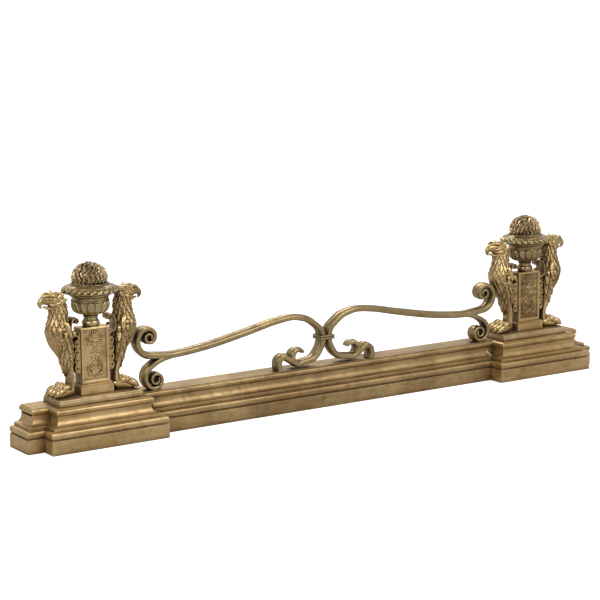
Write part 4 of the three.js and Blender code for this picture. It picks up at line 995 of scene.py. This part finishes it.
beak = limb([
    [56, 0, 262, 8, 9.0], [62, 0, 263.4, 12.0, 12.0], [70, 0, 263.6, 12.8, 12.4],
    [78, 0, 264.4, 11.4, 11.0], [84, 0, 265.0, 9.8, 9.0], [89, 0, 265.2, 8.6, 7.6],
    [94, 0, 264.0, 7.4, 6.4], [98, 0, 260.8, 5.6, 5.2], [99.2, 0, 257.0, 4.2, 3.9],
    [98.2, 0, 253.6, 2.7, 2.5], [96.2, 0, 251.0, 1.1, 1.0], [95.2, 0, 250.0, 0.3, 0.3],
], 64, 40,
    lambda t, a: 1 - 0.12 * np.exp(-(((np.abs(a - np.pi) - 1.15) / 0.14) ** 2)) * eased_step((t - 0.46) * 9))
jaw = limb([
    [66, 0, 248.6, 4.6, 9.0], [74, 0, 248.2, 4.0, 8.0], [82, 0, 249.8, 3.3, 6.2], [88, 0, 251.6, 2.6, 4.6],
    [92.4, 0, 253.0, 1.6, 3.0], [94.0, 0, 253.6, 0.3, 0.5],
], 26, 20)
griffin_parts += [beak, jaw]
for way in (-1, 1):
    for path, count, sides in (
        # brow, eye, its lower lid, cheek, ear, two tufts behind it, forearm, three toes of the forepaw
        ([[95, 3.8, 270.2, 0.8, 0.7], [90, 6.4, 273.2, 2.2, 1.9], [84, 9.0, 274.6, 2.8, 2.2],
          [77, 11.4, 273.2, 2.6, 2.0], [70, 12.4, 269.4, 0.7, 0.6]], 26, 12),
        ([[79.2, 9.4, 267.4, 0.3, 0.3], [79.8, 9.7, 267.4, 2.2, 2.1], [81.6, 9.5, 267.4, 2.8, 2.6],
          [83.3, 8.9, 267.4, 2.1, 2.0], [83.9, 8.6, 267.4, 0.3, 0.3]], 14, 14),
        ([[88, 7.6, 264.4, 0.5, 0.5], [83, 10.0, 262.8, 1.8, 1.4], [77, 11.8, 263.4, 1.8, 1.4],
          [72.5, 12.6, 266.6, 0.5, 0.4]], 18, 10),
        ([[84, 7.4, 257.6, 0.6, 0.6], [78, 10.2, 256.4, 2.8, 2.0], [70, 12.2, 257.4, 3.4, 2.4],
          [63, 12.6, 261.0, 0.8, 0.6]], 22, 12),
        ([[71.5, 8.4, 270.0, 5.0, 2.6], [72.0, 9.6, 274.2, 4.4, 2.2], [72.8, 10.3, 277.8, 2.8, 1.4],
          [73.6, 10.8, 280.6, 0.5, 0.3]], 20, 14),
        ([[66, 9.0, 267.0, 4.6, 3.0], [62, 11.0, 270.6, 4.0, 2.6], [58.8, 12.2, 273.2, 2.6, 1.7],
          [57.2, 12.6, 274.4, 0.5, 0.4]], 18, 12),
        ([[62, 11.0, 260.0, 4.6, 3.2], [56.6, 13.2, 263.2, 4.0, 2.8], [53.2, 14.2, 265.8, 2.6, 1.8],
          [51.8, 14.6, 267.0, 0.5, 0.4]], 18, 12),
        ([[60.0, 12.0, 226.0, 4.0, 4.0], [57.6, 17.6, 221.6, 5.4, 5.4], [55.4, 20.6, 214.6, 5.4, 5.4],
          [54.2, 20.8, 207.6, 5.6, 6.6], [53.6, 20.2, 202.4, 4.0, 5.0],
          [53.4, 19.6, 199.6, 0.8, 1.0]], 36, 22),
        ([[45.4, 19.0, 206.4, 1.6, 1.6], [45.2, 21.6, 206.0, 3.2, 2.8], [44.8, 23.6, 203.2, 3.3, 2.9],
          [44.6, 23.8, 199.6, 2.7, 2.4], [44.6, 23.0, 196.8, 0.7, 0.7]], 20, 14),
        ([[53.2, 20.6, 207.4, 1.6, 1.6], [53.0, 23.0, 206.6, 3.4, 3.0], [53.0, 24.6, 203.2, 3.5, 3.1],
          [53.0, 24.8, 199.2, 2.8, 2.6], [53.0, 24.0, 196.2, 0.7, 0.7]], 20, 14),
        ([[61.0, 20.0, 206.4, 1.6, 1.6], [61.0, 22.6, 205.8, 3.2, 2.8], [61.2, 24.2, 202.8, 3.3, 2.9],
          [61.4, 24.4, 199.2, 2.7, 2.4], [61.4, 23.6, 196.4, 0.7, 0.7]], 20, 14),
    ):
        griffin_parts.append(limb(np.array(path) * [1, way, 1, 1, 1], count, sides))
crest = limb([[66, 0, 271.0, 4.0, 4.4], [59, 0, 274.0, 3.0, 3.4], [53.4, 0, 277.6, 0.4, 0.4]], 16, 12)
griffin_parts.append(crest)

button_r = np.linspace(0.2, 6.4, 30)[:, None]
button_turn = np.linspace(0, 2 * np.pi, 48, endpoint=False)[None, :]
spiral = 0.5 + 0.5 * np.cos(button_turn - 2 * np.pi * button_r / 2.9)
button_out = 21.6 + 2.4 * np.sqrt(np.clip(1 - (button_r / 7.0) ** 2, 0, 1)) + 1.0 * spiral * (button_r > 1)
button = np.stack([67 + button_r * np.cos(button_turn), button_out,
                   190.5 + button_r * np.sin(button_turn)], -1)
button_back = button[-1:] * [1, 0, 1] + [0, 16.0, 0]
button = np.concatenate([button, button_back])
griffin_parts += [button, button * [1, -1, 1]]


def set_down(points, way):
    """A griffin's grid stood against the right pedestal, facing way, with nothing below the slab's top."""
    u, v, z = points[..., 0], points[..., 1], points[..., 2]
    return skin(np.stack([axis_x + way * u, axis_y + v, np.maximum(z, griffin_foot)], -1))


for where, way in (("outer", 1), ("inner", -1)):
    cast_pair(f"griffin_{where}", [set_down(part, way) for part in griffin_parts], brass_griffin,
              sharp=60, rounds=8)

# ---- Scroll brackets -------------------------------------------------------------------------------------
# Between each griffin and its pedestal stands a narrow cast bracket: four C-scrolls on a strap, and above
# them a crook that the griffin's forepaws hold.
shaft_side = (pedestal_high[0] - pedestal_low[0]) / 2 + touch
bracket_low, bracket_high = span("scroll_bracket_outer_right")
bracket_foot = bracket_low[2]
bracket_top = pedestal_high[2] - 9.6
bracket_half = (bracket_high[1] - bracket_low[1]) / 2
pitch = (bracket_top - 11 - bracket_foot) / 4
half_curl = np.array([[10.4, 0.0], [9.9, 3.4], [7.4, 6.3], [4.3, 6.4], [2.6, 4.4], [3.4, 2.3], [5.6, 2.1],
                      [6.6, 3.7], [5.3, 4.6]])
curl_line = through(np.vstack([half_curl[::-1] * [1, -1], half_curl[1:]]) * [1, pitch / 15], 110)
crook_line = through([[1.6, -11], [5.7, -3.7], [15.0, -0.6], [17.0, 9.3], [15.6, 20.5], [10.0, 27.8],
                      [3.9, 26.6], [2.6, 21.8], [6.2, 19.6], [8.6, 22.0], [6.9, 23.9]], 110)


def bracket_strip(line, lift, taper=0.0):
    """A narrow strip of the bracket along a line of [out from the shaft, height], thinner towards its end."""
    path = full(line + [axis_x + shaft_side, lift])
    path[:, 2] *= 1 - taper * np.linspace(0, 1, len(path)) ** 2
    return strip(rounded_end(path, 5), axis_y, bracket_half - 0.2, 1.5, 0.8, 25)


bracket_skins = [bracket_strip(curl_line, bracket_foot + pitch * (k + 0.5)) for k in range(4)]
strap_line = divided(np.array([[1.5, 0.2], [1.5, bracket_top - bracket_foot]]), 1.5)
bracket_skins.append(bracket_strip(strap_line, bracket_foot))
bracket_skins.append(bracket_strip(crook_line, bracket_top, 0.45))
brass_bracket = brass("brass_bracket", (124, 98, 66), (188, 160, 112), (44, 34, 28),
                      wear=0.7, mottle=0.35, smooth=0.36)
cast_pair("scroll_bracket_outer", bracket_skins, brass_bracket)
turned_about = [(p * [-1, 1, 1] + [2 * axis_x, 0, 0], q, t) for p, q, t in bracket_skins]
cast_pair("scroll_bracket_inner", turned_about, brass_bracket)

# ---- Iron fixings ----------------------------------------------------------------------------------------
# Inside the base, out of sight, blackened iron holds the fender together: angle brackets, cheese-head screws
# and a threaded rod with a nut under each pedestal. Their shapes are the frame's own.
iron = bpy.data.materials.new("iron_black")
iron.use_nodes = True
iron_tree = iron.node_tree
iron_shader = iron_tree.nodes["Principled BSDF"]
iron_where = node_in(iron_tree, "TexCoord").outputs["Object"]
rust = ranged(iron_tree, noise(iron_tree, iron_where, 160.0, 5.0, 0.7), 0.5, 0.72)
iron_tree.links.new(mixed(iron_tree, rust, linear(66, 62, 58), linear(104, 66, 42)),
                    iron_shader.inputs["Base Color"])
iron_tree.links.new(ranged(iron_tree, rust, 0.0, 1.0, 0.45, 0.85), iron_shader.inputs["Roughness"])
iron_tree.links.new(maths(iron_tree, "SUBTRACT", 0.9, maths(iron_tree, "MULTIPLY", rust, 0.7)),
                    iron_shader.inputs["Metallic"])
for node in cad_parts.values():
    if not node.hide_render:
        node.data.materials.clear()
        node.data.materials.append(iron)

# ---- Floor, lamps and camera -----------------------------------------------------------------------------
# A white floor and surround, large soft lamps, and the camera that took the photograph's view.
stage_mesh = bpy.data.meshes.new("floor")
stage_mesh.from_pydata([(-30, -30, 0), (30, -30, 0), (30, 30, 0), (-30, 30, 0)], [], [(0, 1, 2, 3)])
floor = bpy.data.objects.new("floor", stage_mesh)
bpy.context.scene.collection.objects.link(floor)
paper = bpy.data.materials.new("paper_white")
paper.use_nodes = True
paper_tree = paper.node_tree
paper_shader = paper_tree.nodes["Principled BSDF"]
paper_shader.inputs["Base Color"].default_value = (0.8, 0.8, 0.8, 1)
paper_shader.inputs["Roughness"].default_value = 0.9
paper_shader.inputs["Specular IOR Level"].default_value = 0.0
rays = node_in(paper_tree, "LightPath")
paper_shader.inputs["Emission Color"].default_value = (1, 1, 1, 1)
paper_tree.links.new(maths(paper_tree, "MULTIPLY", rays.outputs["Is Camera Ray"], 0.74),
                     paper_shader.inputs["Emission Strength"])
floor.data.materials.append(paper)

world = bpy.data.worlds.new("studio")
bpy.context.scene.world = world
world.use_nodes = True
sky = world.node_tree
background = sky.nodes["Background"]
sky_rays = node_in(sky, "LightPath")
background.inputs["Color"].default_value = (1, 1, 1, 1)
direct = maths(sky, "MAXIMUM", sky_rays.outputs["Is Camera Ray"], sky_rays.outputs["Is Transmission Ray"])
direct = maths(sky, "MAXIMUM", direct, maths(sky, "MULTIPLY", sky_rays.outputs["Is Glossy Ray"], 0.7))
sky.links.new(maths(sky, "MAXIMUM", direct, 0.42), background.inputs["Strength"])


def lamp(name, place, aim, width, height, power):
    """A soft box: a rectangular lamp at a place, in metres, facing its aim."""
    data = bpy.data.lights.new(name, "AREA")
    data.shape = "RECTANGLE"
    data.size, data.size_y, data.energy = width, height, power
    holder = bpy.data.objects.new(name, data)
    holder.location = place
    way = np.array(aim) - np.array(place)
    holder.rotation_euler = Vector(way.tolist()).to_track_quat("-Z", "Y").to_euler()
    bpy.context.scene.collection.objects.link(holder)


lamp("lamp_front", (0.9, -2.6, 2.2), (0, 0, 0.1), 1.8, 1.4, 44)
lamp("lamp_left", (-2.4, -1.2, 1.9), (-0.2, 0, 0.1), 1.0, 1.0, 26)
lamp("lamp_back", (0.6, 2.2, 2.4), (0, 0, 0.1), 2.0, 0.8, 30)

camera_data = bpy.data.cameras.new("camera")
camera_data.sensor_width = 36.0
camera_data.lens = 36.0 * 1952.953 / 600
camera_data.clip_start, camera_data.clip_end = 0.1, 200
camera = bpy.data.objects.new("camera", camera_data)
azimuth, elevation, roll = np.radians([-33.06330, 10.17863, -0.64558])
back = np.array([np.sin(azimuth) * np.cos(elevation), -np.cos(azimuth) * np.cos(elevation),
                 np.sin(elevation)])
right = np.cross(-back, [0, 0, 1])
right /= np.linalg.norm(right)
up = np.cross(right, -back)
right, up = np.cos(roll) * right + np.sin(roll) * up, np.cos(roll) * up - np.sin(roll) * right
eye = np.array([-2.0603064, -3.0734269, 0.8682558])
camera.matrix_world = Matrix([*np.stack([right, up, back, eye], 1).tolist(), [0, 0, 0, 1]])
bpy.context.scene.collection.objects.link(camera)
bpy.context.scene.camera = camera
bpy.context.scene.view_settings.view_transform = "Standard"
